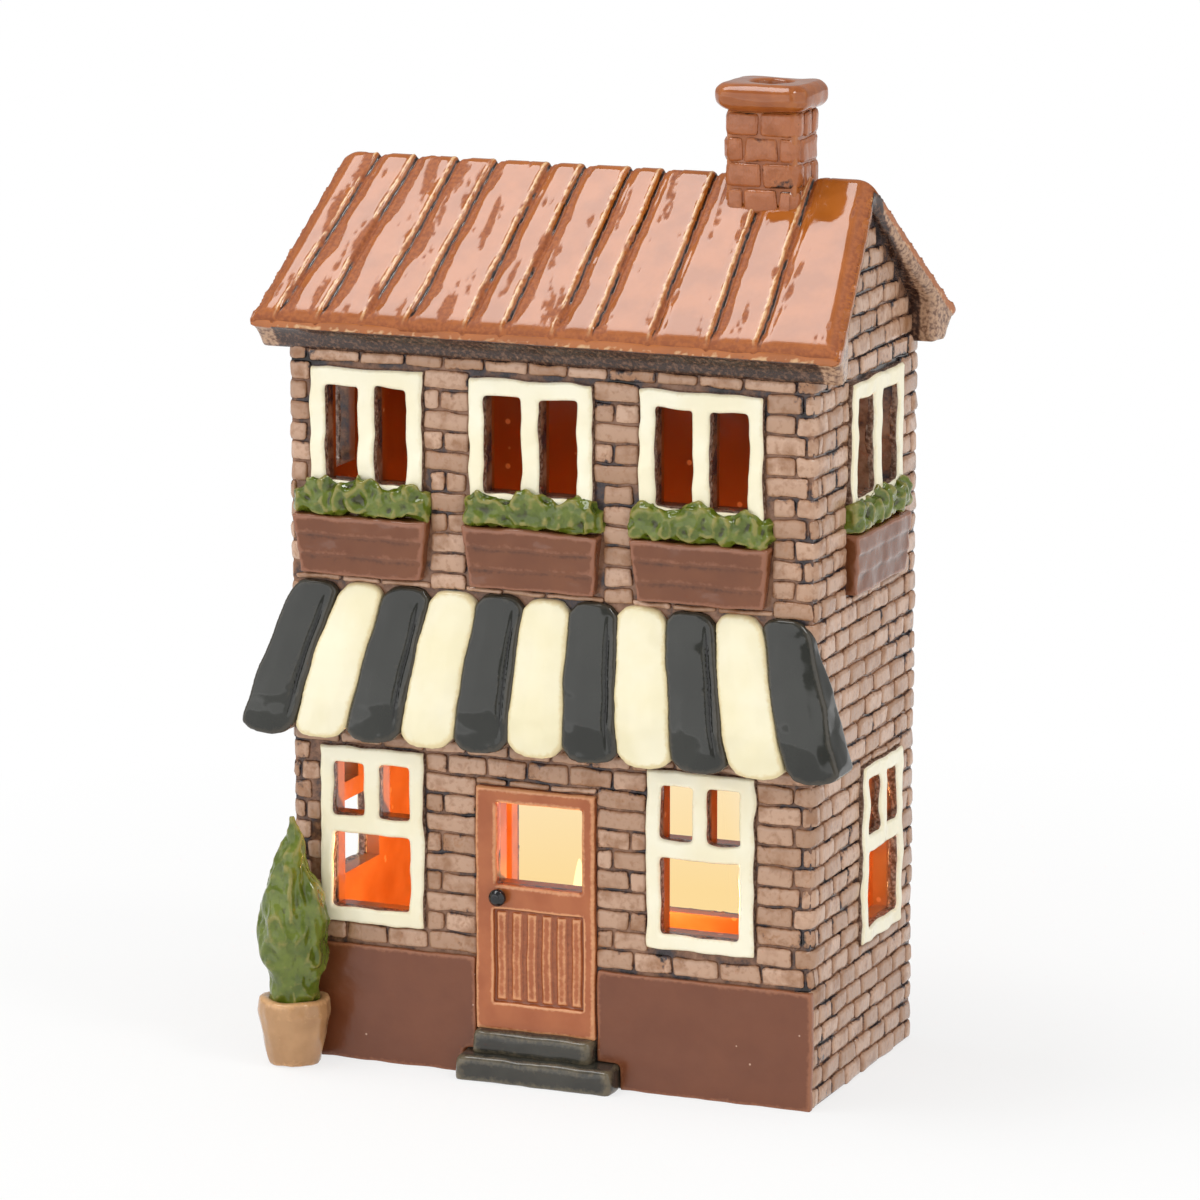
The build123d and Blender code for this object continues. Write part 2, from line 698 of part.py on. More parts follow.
def opening_keep_outs():
    """The back opening, stepped in by whole courses round its arched head."""
    places = [(-OPENING_HALF, OPENING_HALF, OPENING_SILL, OPENING_SPRING)]
    first = math.floor(OPENING_SPRING / COURSE_PITCH)
    last = math.ceil(OPENING_CROWN / COURSE_PITCH)
    for number in range(first, last):
        low = number * COURSE_PITCH
        rise = max(low - OPENING_SPRING, 0)
        half = math.sqrt(OPENING_HALF**2 - rise**2)
        places.append((-half, half, low, low + COURSE_PITCH))
    return places


front_keep_outs = [grown(*frame) for frame, panes in front_windows.values()]
front_keep_outs += [box_place(center, FRONT_BOX_WIDTH) for center in FRONT_BOX_CENTERS]
front_keep_outs += [grown(*door_place), grown(*left_plinth), grown(*right_plinth), grown(*LOWER_STEP)]
front_keep_outs += [grown(-WALL_WIDTH, WALL_WIDTH, AWNING_BOTTOM, AWNING_TOP)]
gable_top = roof_underside(0)
front_bars = brickwork(WALL_WIDTH / 2, WALL_TOP, front_keep_outs)
back_bars = brickwork(WALL_WIDTH / 2, WALL_TOP, opening_keep_outs(), bonded=False)
right_keep_outs = gable_keep_outs(right_windows, RIGHT_UPPER_CENTER)
left_keep_outs = gable_keep_outs(left_windows, LEFT_UPPER_CENTER)
right_bars = brickwork(FACE_Y, gable_top, right_keep_outs, rake=gable_rake)
left_bars = brickwork(FACE_Y, gable_top, left_keep_outs, rake=gable_rake)
for name, face, bars in (
    ("front", FRONT, front_bars),
    ("back", BACK, back_bars),
    ("right_gable", RIGHT, right_bars),
    ("left_gable", LEFT, left_bars),
):
    parts[name + "_brickwork"] = Compound(children=[face * bar for bar in bars])


def chimney_brickwork():
    """Courses round the stack, the lowest ones cut to the slope of the roof."""
    half_width = STACK_WIDTH / 2
    core_width = half_width - STACK_RELIEF
    core_depth = STACK_DEPTH / 2 - STACK_RELIEF
    stack_faces = (
        (Plane((0, -core_depth, 0), x_dir=(1, 0, 0), z_dir=(0, -1, 0)), half_width),
        (Plane((0, core_depth, 0), x_dir=(-1, 0, 0), z_dir=(0, 1, 0)), half_width),
        (Plane((core_width, 0, 0), x_dir=(0, 1, 0), z_dir=(1, 0, 0)), core_depth),
        (Plane((-core_width, 0, 0), x_dir=(0, -1, 0), z_dir=(-1, 0, 0)), core_depth),
    )
    pitch = (STACK_TOP - stack_bottom) / STACK_COURSES
    bars = []
    for face, reach in stack_faces:
        for number in range(STACK_COURSES):
            low = stack_bottom + number * pitch + BED_JOINT / 2
            high = low + pitch - BED_JOINT
            phase = BRICK_PITCH / 2 * (number % 2)
            bar = face * course_bar(-reach, reach, low, high, phase, STACK_RELIEF)
            bars += (Pos(STACK_X, STACK_Y, 0) * bar - roof_mass).solids()
    return Compound(children=bars)


parts["chimney_brickwork"] = chimney_brickwork()


# Tealight, resting on the floor inside the front wall

def round_slug(radius, low, high, sides=CUP_SIDES):
    """An upright round slug on the tealight's own axis, measured from the foot of its cup."""
    place = Pos(TEALIGHT_X, TEALIGHT_Y, FLOOR_THICKNESS + TEALIGHT_GAP)
    return place * many_sided([(radius, low), (radius, high)], sides)


cup_inside = CUP_RADIUS - CUP_WALL
wick = round_slug(WICK_RADIUS, CUP_WALL, WICK_TOP, WICK_SIDES)
sustainer_top = CUP_WALL + SUSTAINER_THICKNESS
sustainer = round_slug(SUSTAINER_RADIUS, CUP_WALL, sustainer_top, SUSTAINER_SIDES)
cup = round_slug(CUP_RADIUS, 0, CUP_HEIGHT)
parts["tealight_cup"] = cup - round_slug(cup_inside, CUP_WALL, 2 * CUP_HEIGHT)
parts["tealight_wax"] = round_slug(cup_inside, CUP_WALL, WAX_LEVEL) - sustainer - wick
parts["wick_sustainer"] = sustainer - wick
parts["wick"] = wick


os.makedirs("parts", exist_ok=True)
for name, shape in parts.items():
    export_step(shape, f"parts/{name}.step")
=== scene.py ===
import math
import random

import bpy
import numpy as np
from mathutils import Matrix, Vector, noise


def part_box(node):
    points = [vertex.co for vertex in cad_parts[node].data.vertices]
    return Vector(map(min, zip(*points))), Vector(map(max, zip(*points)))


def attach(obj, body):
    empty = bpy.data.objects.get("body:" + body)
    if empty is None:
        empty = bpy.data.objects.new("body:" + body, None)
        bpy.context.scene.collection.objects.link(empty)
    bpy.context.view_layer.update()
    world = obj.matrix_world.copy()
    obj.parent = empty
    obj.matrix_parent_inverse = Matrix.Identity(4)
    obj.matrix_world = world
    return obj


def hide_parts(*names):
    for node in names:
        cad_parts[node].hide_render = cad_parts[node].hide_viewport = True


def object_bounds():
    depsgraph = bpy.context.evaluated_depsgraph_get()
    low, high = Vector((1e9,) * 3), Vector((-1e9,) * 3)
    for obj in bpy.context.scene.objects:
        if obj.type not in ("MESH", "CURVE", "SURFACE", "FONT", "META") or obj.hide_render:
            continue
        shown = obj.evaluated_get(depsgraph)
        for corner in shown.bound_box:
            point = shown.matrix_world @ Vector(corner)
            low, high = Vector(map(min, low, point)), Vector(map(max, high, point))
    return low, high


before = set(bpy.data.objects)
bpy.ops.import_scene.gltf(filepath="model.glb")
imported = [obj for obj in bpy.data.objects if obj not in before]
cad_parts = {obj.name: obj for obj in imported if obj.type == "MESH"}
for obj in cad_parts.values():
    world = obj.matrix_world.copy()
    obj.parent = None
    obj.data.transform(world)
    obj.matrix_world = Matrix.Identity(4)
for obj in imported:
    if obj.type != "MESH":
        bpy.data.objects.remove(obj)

cad_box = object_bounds()


# Walls and floor slab
# Slip-cast earthenware, cast in one with the house. The inside has a thin amber glaze that glows
# in candlelight. Outside, the wall shows only in the joints, where dark glaze has pooled.

MM = 0.001
WALL_NODES = ("front_wall", "back_wall", "left_gable_wall", "right_gable_wall", "floor_slab")
FACE_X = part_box("right_gable_wall")[1].x
FACE_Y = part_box("back_wall")[1].y
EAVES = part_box("front_wall")[1].z / MM
GLAZE_IOR = 1.55
RIPPLE_STRENGTH = 0.35
JOINT_CLOUD = 8.0
WALL_JOINTS = (
    (0.4, "#9C745A"), (0.48, "#845C43"), (0.54, "#5C4134"), (0.59, "#40363A"), (0.65, "#1A0D06"),
)
# Painted shade: the joints are drawn darker from 9 mm to 2 mm below the eaves, and as dark above, as if
# shaded by the roof.
WALL_SHADE_BAND = (EAVES - 9, EAVES - 2)
PAINTED_SHADE_POOL = 0.06
AMBER = ((0.35, "#A85E2A"), (0.65, "#C47C44"))
AMBER_RUN = 18.0
AMBER_RIPPLE = 6.0
# Inside, the amber is drawn a darker brown from 70 mm up to 130 mm.
UPPER_BROWN = "#8E4216"
UPPER_BROWN_FROM, UPPER_BROWN_TO, UPPER_BROWN_SHARE = 70.0, 130.0, 0.85
BUBBLE = "#D8925A"
BUBBLE_SPACING = 6.0
REVEAL_FROM, REVEAL_TO = 1.2, 0.5
UPSTAIRS_FROM, UPSTAIRS_TO, UPSTAIRS_REVEAL = 100.0, 120.0, 2.0


def linear(color):
    """Linear colour of an sRGB hex value."""
    channels = [int(color[i:i + 2], 16) / 255 for i in (1, 3, 5)]
    return [c / 12.92 if c <= 0.04045 else ((c + 0.055) / 1.055) ** 2.4 for c in channels] + [1.0]


def add_node(tree, kind, inputs=None, stops=None, **settings):
    """Add one shader node with its settings, colour stops, and values or links by input, and give its
    outputs. Inputs that share a name go by number: a colour Mix takes its share at 0 and its colours at
    6 and 7, and gives its result at 2."""
    node = tree.nodes.new("ShaderNode" + kind)
    for name, value in settings.items():
        setattr(node, name, value)
    for number, (place, color) in enumerate(stops or []):
        ramp = node.color_ramp.elements
        stop = ramp[number] if number < 2 else ramp.new(place)
        stop.position = place
        stop.color = linear(color)
    for name, value in (inputs or {}).items():
        if isinstance(value, bpy.types.NodeSocket):
            tree.links.new(value, node.inputs[name])
        else:
            node.inputs[name].default_value = value
    return node.outputs


def new_material(name):
    """A new material with its node tree, its shader, and the place on the piece that its patterns read."""
    material = bpy.data.materials.new(name)
    material.use_nodes = True
    tree = material.node_tree
    return material, tree, tree.nodes["Principled BSDF"], add_node(tree, "TexCoord")["Object"]


def lay_coats(tree, color, coats):
    """Lay coats of glaze over a colour: each covers up to its share as its value goes from none to full."""
    for value, none, full, share, coat in coats:
        span = {"Value": value, "From Min": none, "From Max": full, "To Max": share}
        cover = add_node(tree, "MapRange", span)[0]
        color = add_node(tree, "Mix", {0: cover, 6: color, 7: coat}, data_type="RGBA")[2]
    return color


def fire_glaze(tree, shader, color, height, ripple, roughness):
    """Give a shader its colour, ripples of so many millimetres, and the gloss of a fired glaze."""
    waves = {"Height": height, "Strength": RIPPLE_STRENGTH, "Distance": ripple * MM}
    tree.links.new(add_node(tree, "Bump", waves)["Normal"], shader.inputs["Normal"])
    tree.links.new(color, shader.inputs["Base Color"])
    shader.inputs["Roughness"].default_value = roughness
    shader.inputs["IOR"].default_value = GLAZE_IOR


def joint_glaze(tree, place, stops, shade_band):
    """Colour of the joints and how deep the glaze has pooled there, with painted shade added from a band
    upwards.
    """
    clouds = {"Vector": place, "Scale": 1 / (JOINT_CLOUD * MM), "Detail": 6.0, "Roughness": 0.66}
    drift = add_node(tree, "TexNoise", clouds)["Fac"]
    height = add_node(tree, "SeparateXYZ", {"Vector": place})["Z"]
    # Painted shade: the pool grows over the band and stays full above it, darkening the joints under a roof
    # or cap.
    low, high = shade_band
    span = {"Value": height, "From Min": low * MM, "From Max": high * MM, "To Max": PAINTED_SHADE_POOL}
    painted_shade = add_node(tree, "MapRange", span)[0]
    pool = add_node(tree, "Math", {0: drift, 1: painted_shade}, operation="ADD")[0]
    return add_node(tree, "ValToRGB", {"Fac": pool}, stops=stops)["Color"], pool


def wall_glaze():
    """Amber in runs, a darker brown higher up and with small pale bubbles. Outside are the bottoms of the
    joints, whose dark glaze has run into the reveals of the panes, and further upstairs; painted shade
    darkens them under the eaves."""
    material, tree, shader, place = new_material("amber_glazed_earthenware")
    axes = add_node(tree, "SeparateXYZ", {"Vector": place})
    span = {"From Min": UPSTAIRS_FROM * MM, "From Max": UPSTAIRS_TO * MM, "To Max": UPSTAIRS_REVEAL * MM}
    further = add_node(tree, "MapRange", {"Value": axes["Z"], **span})[0]
    outside = []
    for axis, face in ((axes["X"], FACE_X), (axes["Y"], FACE_Y)):
        depth = add_node(tree, "Math", {0: axis}, operation="ABSOLUTE")[0]
        depth = add_node(tree, "Math", {0: depth, 1: further}, operation="ADD")[0]
        span = {"Value": depth, "From Min": face - REVEAL_FROM * MM, "From Max": face - REVEAL_TO * MM}
        outside.append(add_node(tree, "MapRange", span)[0])
    outer = add_node(tree, "Math", {0: outside[0], 1: outside[1]}, operation="MAXIMUM")[0]
    joints, _ = joint_glaze(tree, place, WALL_JOINTS, WALL_SHADE_BAND)
    runs, waves = (
        add_node(tree, "TexNoise", {"Vector": place, "Scale": 1 / (size * MM), "Detail": detail})["Fac"]
        for size, detail in ((AMBER_RUN, 3.0), (AMBER_RIPPLE, 2.0))
    )
    amber = add_node(tree, "ValToRGB", {"Fac": runs}, stops=AMBER)["Color"]
    cells = {"Vector": place, "Scale": 1 / (BUBBLE_SPACING * MM)}
    bubbles = add_node(tree, "TexVoronoi", cells)["Distance"]
    color = lay_coats(tree, amber, (
        (axes["Z"], UPPER_BROWN_FROM * MM, UPPER_BROWN_TO * MM, UPPER_BROWN_SHARE, linear(UPPER_BROWN)),
        (bubbles, 0.13, 0.08, 1.0, linear(BUBBLE)),
        (outer, 0.0, 1.0, 1.0, joints),
    ))
    fire_glaze(tree, shader, color, waves, 0.6, 0.2)
    return material


# Thin amber glaze: wet gloss, warm and uneven, and it glows orange round the flame.
amber_glaze = wall_glaze()
for node in WALL_NODES:
    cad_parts[node].material_slots[0].material = amber_glaze


# Brickwork
# Hand-carved bricks standing out of the cast walls, in running bond, under a taupe glaze that
# breaks to orange on their edges. One brick is modelled, and every other is a stretched copy.

COURSE = 4.5
BRICK_LENGTH = 9.9
JOINT = 0.42
BRICK_OUT = 0.95
BRICK_BURIED = 0.6
BRICK_EDGE = 0.72
CROWN_INSET, CROWN_RISE = 0.4, 0.06
SHORTEST_BRICK = 2.2
SHORTEST_END = 3.6
THINNEST_BRICK = 1.2
JOINT_WANDER = 0.9
BRICK_SKEW = 0.03
BRICK_LOWEST = 0.7
TILT_ALONG, TILT_UP = 0.03, 0.1
CARVE_SEED = 1
CARVE_SIZE = 3.2
CARVE_DEPTH = 0.42
CARVE_OUT = 0.3
CORNER_ROUND = 1.3
CORNER_ARC = CORNER_ROUND * math.pi / 2
CORNER_LAP = 2.6
RELIEF_MARGIN = 0.2
BRICK_SMOOTH = math.radians(60)
BRICK_GRAIN = 1.5
SCORCH_SIZE = 5.0
STROKE_WIDTH, STROKE_LENGTH = 0.8, 4.0


def select_parts(piece, kind, wanted):
    """Select the vertices, edges or faces of a piece for which a test holds, and stay in edit mode."""
    bpy.ops.object.mode_set(mode="EDIT")
    bpy.ops.mesh.select_mode(type=kind)
    bpy.ops.mesh.select_all(action="DESELECT")
    bpy.ops.object.mode_set(mode="OBJECT")
    mesh = piece.data
    for part in {"VERT": mesh.vertices, "EDGE": mesh.edges, "FACE": mesh.polygons}[kind]:
        part.select = wanted(part)
    bpy.ops.object.mode_set(mode="EDIT")


def model_brick():
    """One brick lying on its wall: x along the wall, y up, z outwards, in millimetres."""
    bpy.ops.object.select_all(action="DESELECT")
    bpy.ops.mesh.primitive_cube_add(size=1.0)
    brick = bpy.context.active_object
    brick.scale = (BRICK_LENGTH, COURSE, BRICK_OUT + BRICK_BURIED)
    brick.location.z = (BRICK_OUT - BRICK_BURIED) / 2
    bpy.ops.object.transform_apply(location=True, scale=True)

    def lengthwise(edge):
        start, end = (brick.data.vertices[number].co for number in edge.vertices)
        return abs(start.x - end.x) > 1

    def on_rim(edge):
        start, end = (brick.data.vertices[number].co for number in edge.vertices)
        on_top = start.z > 0 and end.z > 0
        at_end = min(abs(start.x), abs(end.x)) > 0.49 * BRICK_LENGTH
        upright = abs(start.z - end.z) > 0.01
        return at_end and (on_top or upright) or on_top and abs(start.y - end.y) < 0.01

    select_parts(brick, "EDGE", lengthwise)
    bpy.ops.mesh.subdivide(number_cuts=3)
    select_parts(brick, "EDGE", on_rim)
    bpy.ops.mesh.bevel(offset=BRICK_EDGE, segments=2, profile=0.5, affect="EDGES")
    select_parts(brick, "FACE", lambda face: face.center.z > 0.99 * BRICK_OUT)
    bpy.ops.mesh.inset(thickness=CROWN_INSET, depth=CROWN_RISE)
    bpy.ops.object.mode_set(mode="OBJECT")
    points = np.array([vertex.co for vertex in brick.data.vertices])
    faces = [list(face.vertices) for face in brick.data.polygons]
    bpy.data.objects.remove(brick)
    return points, faces


brick_points, brick_faces = model_brick()
noise.seed_set(CARVE_SEED)


def cut_away(brick, hole):
    """What is left of a brick's rectangle beside, below and above a hole."""
    u0, u1, v0, v1 = brick
    h0, h1, low, high = hole
    if h0 >= u1 or h1 <= u0 or low >= v1 or high <= v0:
        return [brick]
    left, right = max(u0, h0), min(u1, h1)
    rests = [(u0, h0, v0, v1), (h1, u1, v0, v1), (left, right, v0, low), (left, right, high, v1)]
    return [r for r in rests if r[1] - r[0] > SHORTEST_BRICK and r[3] - r[2] > THINNEST_BRICK]


def course_bricks(reaches, bottom, top, holes, draw, pitch=COURSE):
    """Rectangles of the bricks of a wall: even and odd courses reach past the corners in turn, and the
    joints are set by hand and cut round the relief."""
    bricks = []
    for course in range(math.ceil((top - bottom) / pitch)):
        low = bottom + course * pitch + JOINT / 2
        high = min(bottom + (course + 1) * pitch, top) - JOINT / 2
        if high - low < THINNEST_BRICK:
            continue
        reach = reaches[course % 2]
        sides = [side for hole in holes if hole[2] < high and hole[3] > low for side in hole[:2]]
        ends = [-reach]
        joint = BRICK_LENGTH * (0.5 * (course % 2) - math.ceil(reach / BRICK_LENGTH))
        while joint < reach - SHORTEST_END:
            place = joint + draw.uniform(-JOINT_WANDER, JOINT_WANDER)
            joint += BRICK_LENGTH
            if place > SHORTEST_END - reach and all(abs(place - side) > SHORTEST_END for side in sides):
                ends.append(place)
        ends.append(reach)
        for start, end in zip(ends, ends[1:]):
            rests = [(start + JOINT / 2, end - JOINT / 2, low, high)]
            for hole in holes:
                rests = [rest for brick in rests for rest in cut_away(brick, hole)]
            bricks += rests
    return bricks


def round_corner(u, rise, half):
    """Bend a place on a wall round the wall's corner: how far along it then is, and how far out."""
    start = half - CORNER_ROUND
    over = abs(u) - start
    if over < 0:
        return u, rise
    turn = min(over / CORNER_ROUND, math.pi / 2)
    radius = CORNER_ROUND + rise
    out = radius * math.cos(turn) - CORNER_ROUND - max(over - CORNER_ARC, 0)
    return math.copysign(start + radius * math.sin(turn), u), out


def corner_reaches(half):
    """How far a course reaches where it laps the corner, and where the other wall's course does."""
    start = half - CORNER_ROUND
    return start + CORNER_ARC + CORNER_LAP, start - CORNER_LAP


def clamp(value):
    """A value held between 0 and 1."""
    return min(max(value, 0), 1)


def store(piece, title, values):
    """Store a value for each point of a piece, for its glaze to read."""
    piece.data.attributes.new(title, "FLOAT", "POINT").data.foreach_set("value", values)


def take_up(piece):
    """Put a new piece into the scene and select it alone."""
    bpy.context.collection.objects.link(piece)
    bpy.ops.object.select_all(action="DESELECT")
    piece.select_set(True)
    bpy.context.view_layer.objects.active = piece


def lay_bricks(name, bricks, along, outward, plane, half, draw, middle=0.0, shape=None):
    """Join copies of the brick, each stretched to its rectangle and a little askew, on one wall. A brick
    that laps the corner has its middle points moved to the bend."""
    points, faces, heights, tones = [], [], [], []
    unit = np.array([BRICK_LENGTH / 2, COURSE / 2])
    bend = half - CORNER_ROUND + CORNER_ARC * np.array([0, 0.5, 1])
    for u0, u1, v0, v1 in bricks:
        size = np.array([u1 - u0, v1 - v0]) / 2
        edge_scale = np.minimum(1, size / (1.6 * BRICK_EDGE))
        flat = np.sign(brick_points[:, :2]) * (size - (unit - abs(brick_points[:, :2])) * edge_scale)
        if max(-u0, u1) > bend[2] + 1 and min(abs(u0), abs(u1)) < bend[0] - 1:
            side = math.copysign(1, u0 + u1)
            inner = abs(brick_points[:, 0]) < 0.3 * BRICK_LENGTH
            bent = np.interp(brick_points[:, 0] * side, np.array([-1, 0, 1]) * BRICK_LENGTH / 4, bend)
            flat[:, 0] = np.where(inner, bent * side - (u0 + u1) / 2, flat[:, 0])
        turn = draw.uniform(-BRICK_SKEW, BRICK_SKEW)
        u = (u0 + u1) / 2 + flat[:, 0] - turn * flat[:, 1]
        v = (v0 + v1) / 2 + flat[:, 1] + turn * flat[:, 0]
        rise = brick_points[:, 2] * draw.uniform(BRICK_LOWEST, 1.0)
        tilt = flat[:, 0] * draw.uniform(-TILT_ALONG, TILT_ALONG)
        tilt += flat[:, 1] * draw.uniform(-TILT_UP, TILT_UP)
        rise += np.maximum(rise, 0) * tilt
        tone = draw.random()
        first = len(points)
        for a, b, c in zip(u, v, rise):
            carve = noise.noise_vector(Vector((a / CARVE_SIZE, b / CARVE_SIZE, plane * 9))) * CARVE_DEPTH
            a, b = a + carve.x, b + carve.y
            if shape:
                a, b = shape(a, b)
            heights.append(clamp(c / BRICK_OUT))
            a, c = round_corner(a, c + CARVE_OUT * carve.z, half)
            level = Vector(along) * (middle + a) + Vector(outward) * (plane + c)
            points.append(level + Vector((0, 0, max(b, 0))))
            tones.append(tone)
        faces += [[first + corner for corner in face] for face in brick_faces]
    mesh = bpy.data.meshes.new(name)
    mesh.from_pydata([point * MM for point in points], [], faces)
    piece = bpy.data.objects.new(name, mesh)
    store(piece, "relief", heights)
    store(piece, "tone", tones)
    take_up(piece)
    bpy.ops.object.shade_smooth_by_angle(angle=BRICK_SMOOTH)
    return piece


def brick_glaze(name, pale, deep, burnt, edge, joints, shade_band):
    """Glaze over carved bricks: it pools dark round their feet, breaks on their edges, and is scorched in
    patches and flecks on top. Where it pools, and where painted shade lies in the band given, the dark
    reaches higher up the bricks."""
    material, tree, shader, place = new_material(name)
    relief = add_node(tree, "Attribute", attribute_name="relief")["Fac"]
    tone = add_node(tree, "Attribute", attribute_name="tone")["Fac"]
    joint, pool = joint_glaze(tree, place, joints, shade_band)
    grain, patch = (
        add_node(tree, "TexNoise", {"Vector": place, "Scale": 1 / (size * MM), "Detail": detail})["Fac"]
        for size, detail in ((BRICK_GRAIN, 5.0), (SCORCH_SIZE, 6.0))
    )
    lift = add_node(tree, "MapRange", {"Value": grain, "To Min": -0.6, "To Max": 0.6})[0]
    # Painted shade in the pool value spreads the joint colour further up the bricks under a roof or cap.
    depth = {"Value": pool, "From Min": 0.48, "From Max": 0.62, "To Max": -0.28}
    pool_and_shade = add_node(tree, "MapRange", depth)[0]
    level = relief
    for change in (lift, pool_and_shade):
        level = add_node(tree, "Math", {0: level, 1: change}, operation="ADD")[0]
    shade = add_node(tree, "Mix", {0: tone, 6: linear(pale), 7: linear(deep)}, data_type="RGBA")[2]
    color = lay_coats(tree, shade, (
        (patch, 0.5, 0.7, 0.75, linear(burnt)),
        (grain, 0.54, 0.7, 0.5, linear(burnt)),
        (level, 0.64, 0.44, 0.6, linear(edge)),
        (level, 0.45, 0.23, 1.0, joint),
    ))
    scale = [1 / (size * MM) for size in (STROKE_WIDTH, STROKE_WIDTH, STROKE_LENGTH)]
    strokes = add_node(tree, "Mapping", {"Vector": place, "Scale": scale})[0]
    tooled = add_node(tree, "TexNoise", {"Vector": strokes, "Scale": 1.0, "Detail": 2.0})["Fac"]
    height = add_node(tree, "Math", {0: grain, 1: tooled}, operation="ADD")[0]
    fire_glaze(tree, shader, color, height, 0.38, 0.14)
    return material


def finish_piece(piece, material, nodes, body="house"):
    """Give a piece its glaze, and let it stand for its CAD nodes."""
    piece.data.materials.append(material)
    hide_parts(*nodes)
    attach(piece, body)


def wall_place(node, along):
    """A node's rectangle on a wall, in millimetres, with a margin for the bricks beside it."""
    low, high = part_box(node)
    left, right = sorted(corner.dot(Vector(along)) / MM for corner in (low, high))
    margin = RELIEF_MARGIN
    return left - margin, right + margin, low.z / MM - margin, high.z / MM + margin


# Taupe glaze on carved clay: glossy and rippled, no two bricks of one tone, dark lines between them, darker
# with painted shade under the eaves.
taupe_brick_glaze = brick_glaze(
    "taupe_glazed_brick", "#CEA88E", "#AE876B", "#92623C", "#A87650", WALL_JOINTS, WALL_SHADE_BAND
)
WALL_DEPTH = 2 * FACE_Y / MM
GABLE_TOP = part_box("right_gable_wall")[1].z / MM
OPENING_HALF = 34.6
OPENING_SILL = 24.5
OPENING_SPRING = 63.4


def outside_opening(u, v):
    """Keep a brick's corners out of the arched back opening."""
    rise = v - OPENING_SPRING
    reach = math.hypot(u, rise)
    if rise > 0 and 0 < reach < OPENING_HALF + RELIEF_MARGIN:
        grow = (OPENING_HALF + RELIEF_MARGIN) / reach
        return u * grow, OPENING_SPRING + rise * grow
    return u, v


def in_arch(brick):
    """Whether a brick's middle is in the arched head of the back opening."""
    u0, u1, v0, v1 = brick
    return math.hypot((u0 + u1) / 2, (v0 + v1) / 2 - OPENING_SPRING) < OPENING_HALF


def under_roof(brick):
    """Whether a gable brick's middle is under the slope of the roof."""
    u0, u1, v0, v1 = brick
    slope = (GABLE_TOP - EAVES) / (WALL_DEPTH / 2)
    return (v0 + v1) / 2 < GABLE_TOP - slope * abs(u0 + u1) / 2 + COURSE / 2


AWNING_NODES = ("awning_dark_flutes", "awning_cream_flutes")
front_relief = [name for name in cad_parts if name.startswith("front_") and "_wall" not in name]
front_relief = [name for name in front_relief if not name.endswith(("_brickwork", "_roof_slope"))]
front_relief += ["door_leaf", "upper_step", "lower_step", "left_plinth", "right_plinth", *AWNING_NODES]
brick_walls = (
    ("front", (1, 0, 0), (0, -1, 0), FACE_Y / MM, FACE_X / MM, EAVES, front_relief),
    ("back", (-1, 0, 0), (0, 1, 0), FACE_Y / MM, FACE_X / MM, EAVES, []),
    ("right_gable", (0, 1, 0), (1, 0, 0), FACE_X / MM, FACE_Y / MM, GABLE_TOP, None),
    ("left_gable", (0, -1, 0), (-1, 0, 0), FACE_X / MM, FACE_Y / MM, GABLE_TOP, None),
)
for seed, (wall, along, outward, plane, half, top, relief) in enumerate(brick_walls):
    draw = random.Random(seed)
    lapping, stopping = corner_reaches(half)
    reaches = (stopping, lapping) if relief is None else (lapping, stopping)
    if relief is None:
        relief = [f"{wall}_{part}" for part in ("upper_window", "lower_window", "flower_box", "foliage")]
    corner = half - CORNER_ROUND + 1
    holes = [wall_place(name, along) for name in relief]
    holes = [(max(u0, -corner), min(u1, corner), v0, v1) for u0, u1, v0, v1 in holes]
    shape = None
    if wall == "back":
        holes.append((-OPENING_HALF, OPENING_HALF, OPENING_SILL, OPENING_SPRING))
        shape = outside_opening
    bricks = course_bricks(reaches, 0, top, holes, draw)
    if wall == "back":
        bricks = [brick for brick in bricks if not in_arch(brick)]
    if top == GABLE_TOP:
        bricks = [brick for brick in bricks if under_roof(brick)]
    piece = lay_bricks(wall + "_bricks", bricks, along, outward, plane, half, draw, shape=shape)
    finish_piece(piece, taupe_brick_glaze, [wall + "_brickwork"])


# Plinth bands
# The smooth foot of the front wall, left and right of the door, cast with the wall. A thick
# chocolate glaze rounds their edges and holds a few pale pinholes.

FRONT = (1, -1)
RIGHT = (0, 1)
LEFT = (0, -1)
MERGE_REACH = 0.001
ON_WALL = 0.01
WALL_SUNK = 0.9
GLAZE_GRAIN = 0.9
GLAZE_RIPPLE = 0.3
PINHOLE_SPACING = 5.0
BARE_ROUGHNESS = 0.6


def points_and_normals(piece):
    """The points of a piece and the normals there, as rows of two arrays."""
    count = len(piece.data.vertices)
    points, normals = np.empty(count * 3), np.empty(count * 3)
    piece.data.vertices.foreach_get("co", points)
    piece.data.vertices.foreach_get("normal", normals)
    return points.reshape(-1, 3), normals.reshape(-1, 3)


def move_points(piece, points):
    """Move the points of a piece to the rows of an array."""
    piece.data.vertices.foreach_set("co", points.ravel())
    piece.data.update()


def modify(piece, kind, **settings):
    """Add a modifier with its settings to the active piece, and apply it."""
    modifier = piece.modifiers.new(kind.lower(), kind)
    for name, value in settings.items():
        setattr(modifier, name, value)
    bpy.ops.object.modifier_apply(modifier=modifier.name)


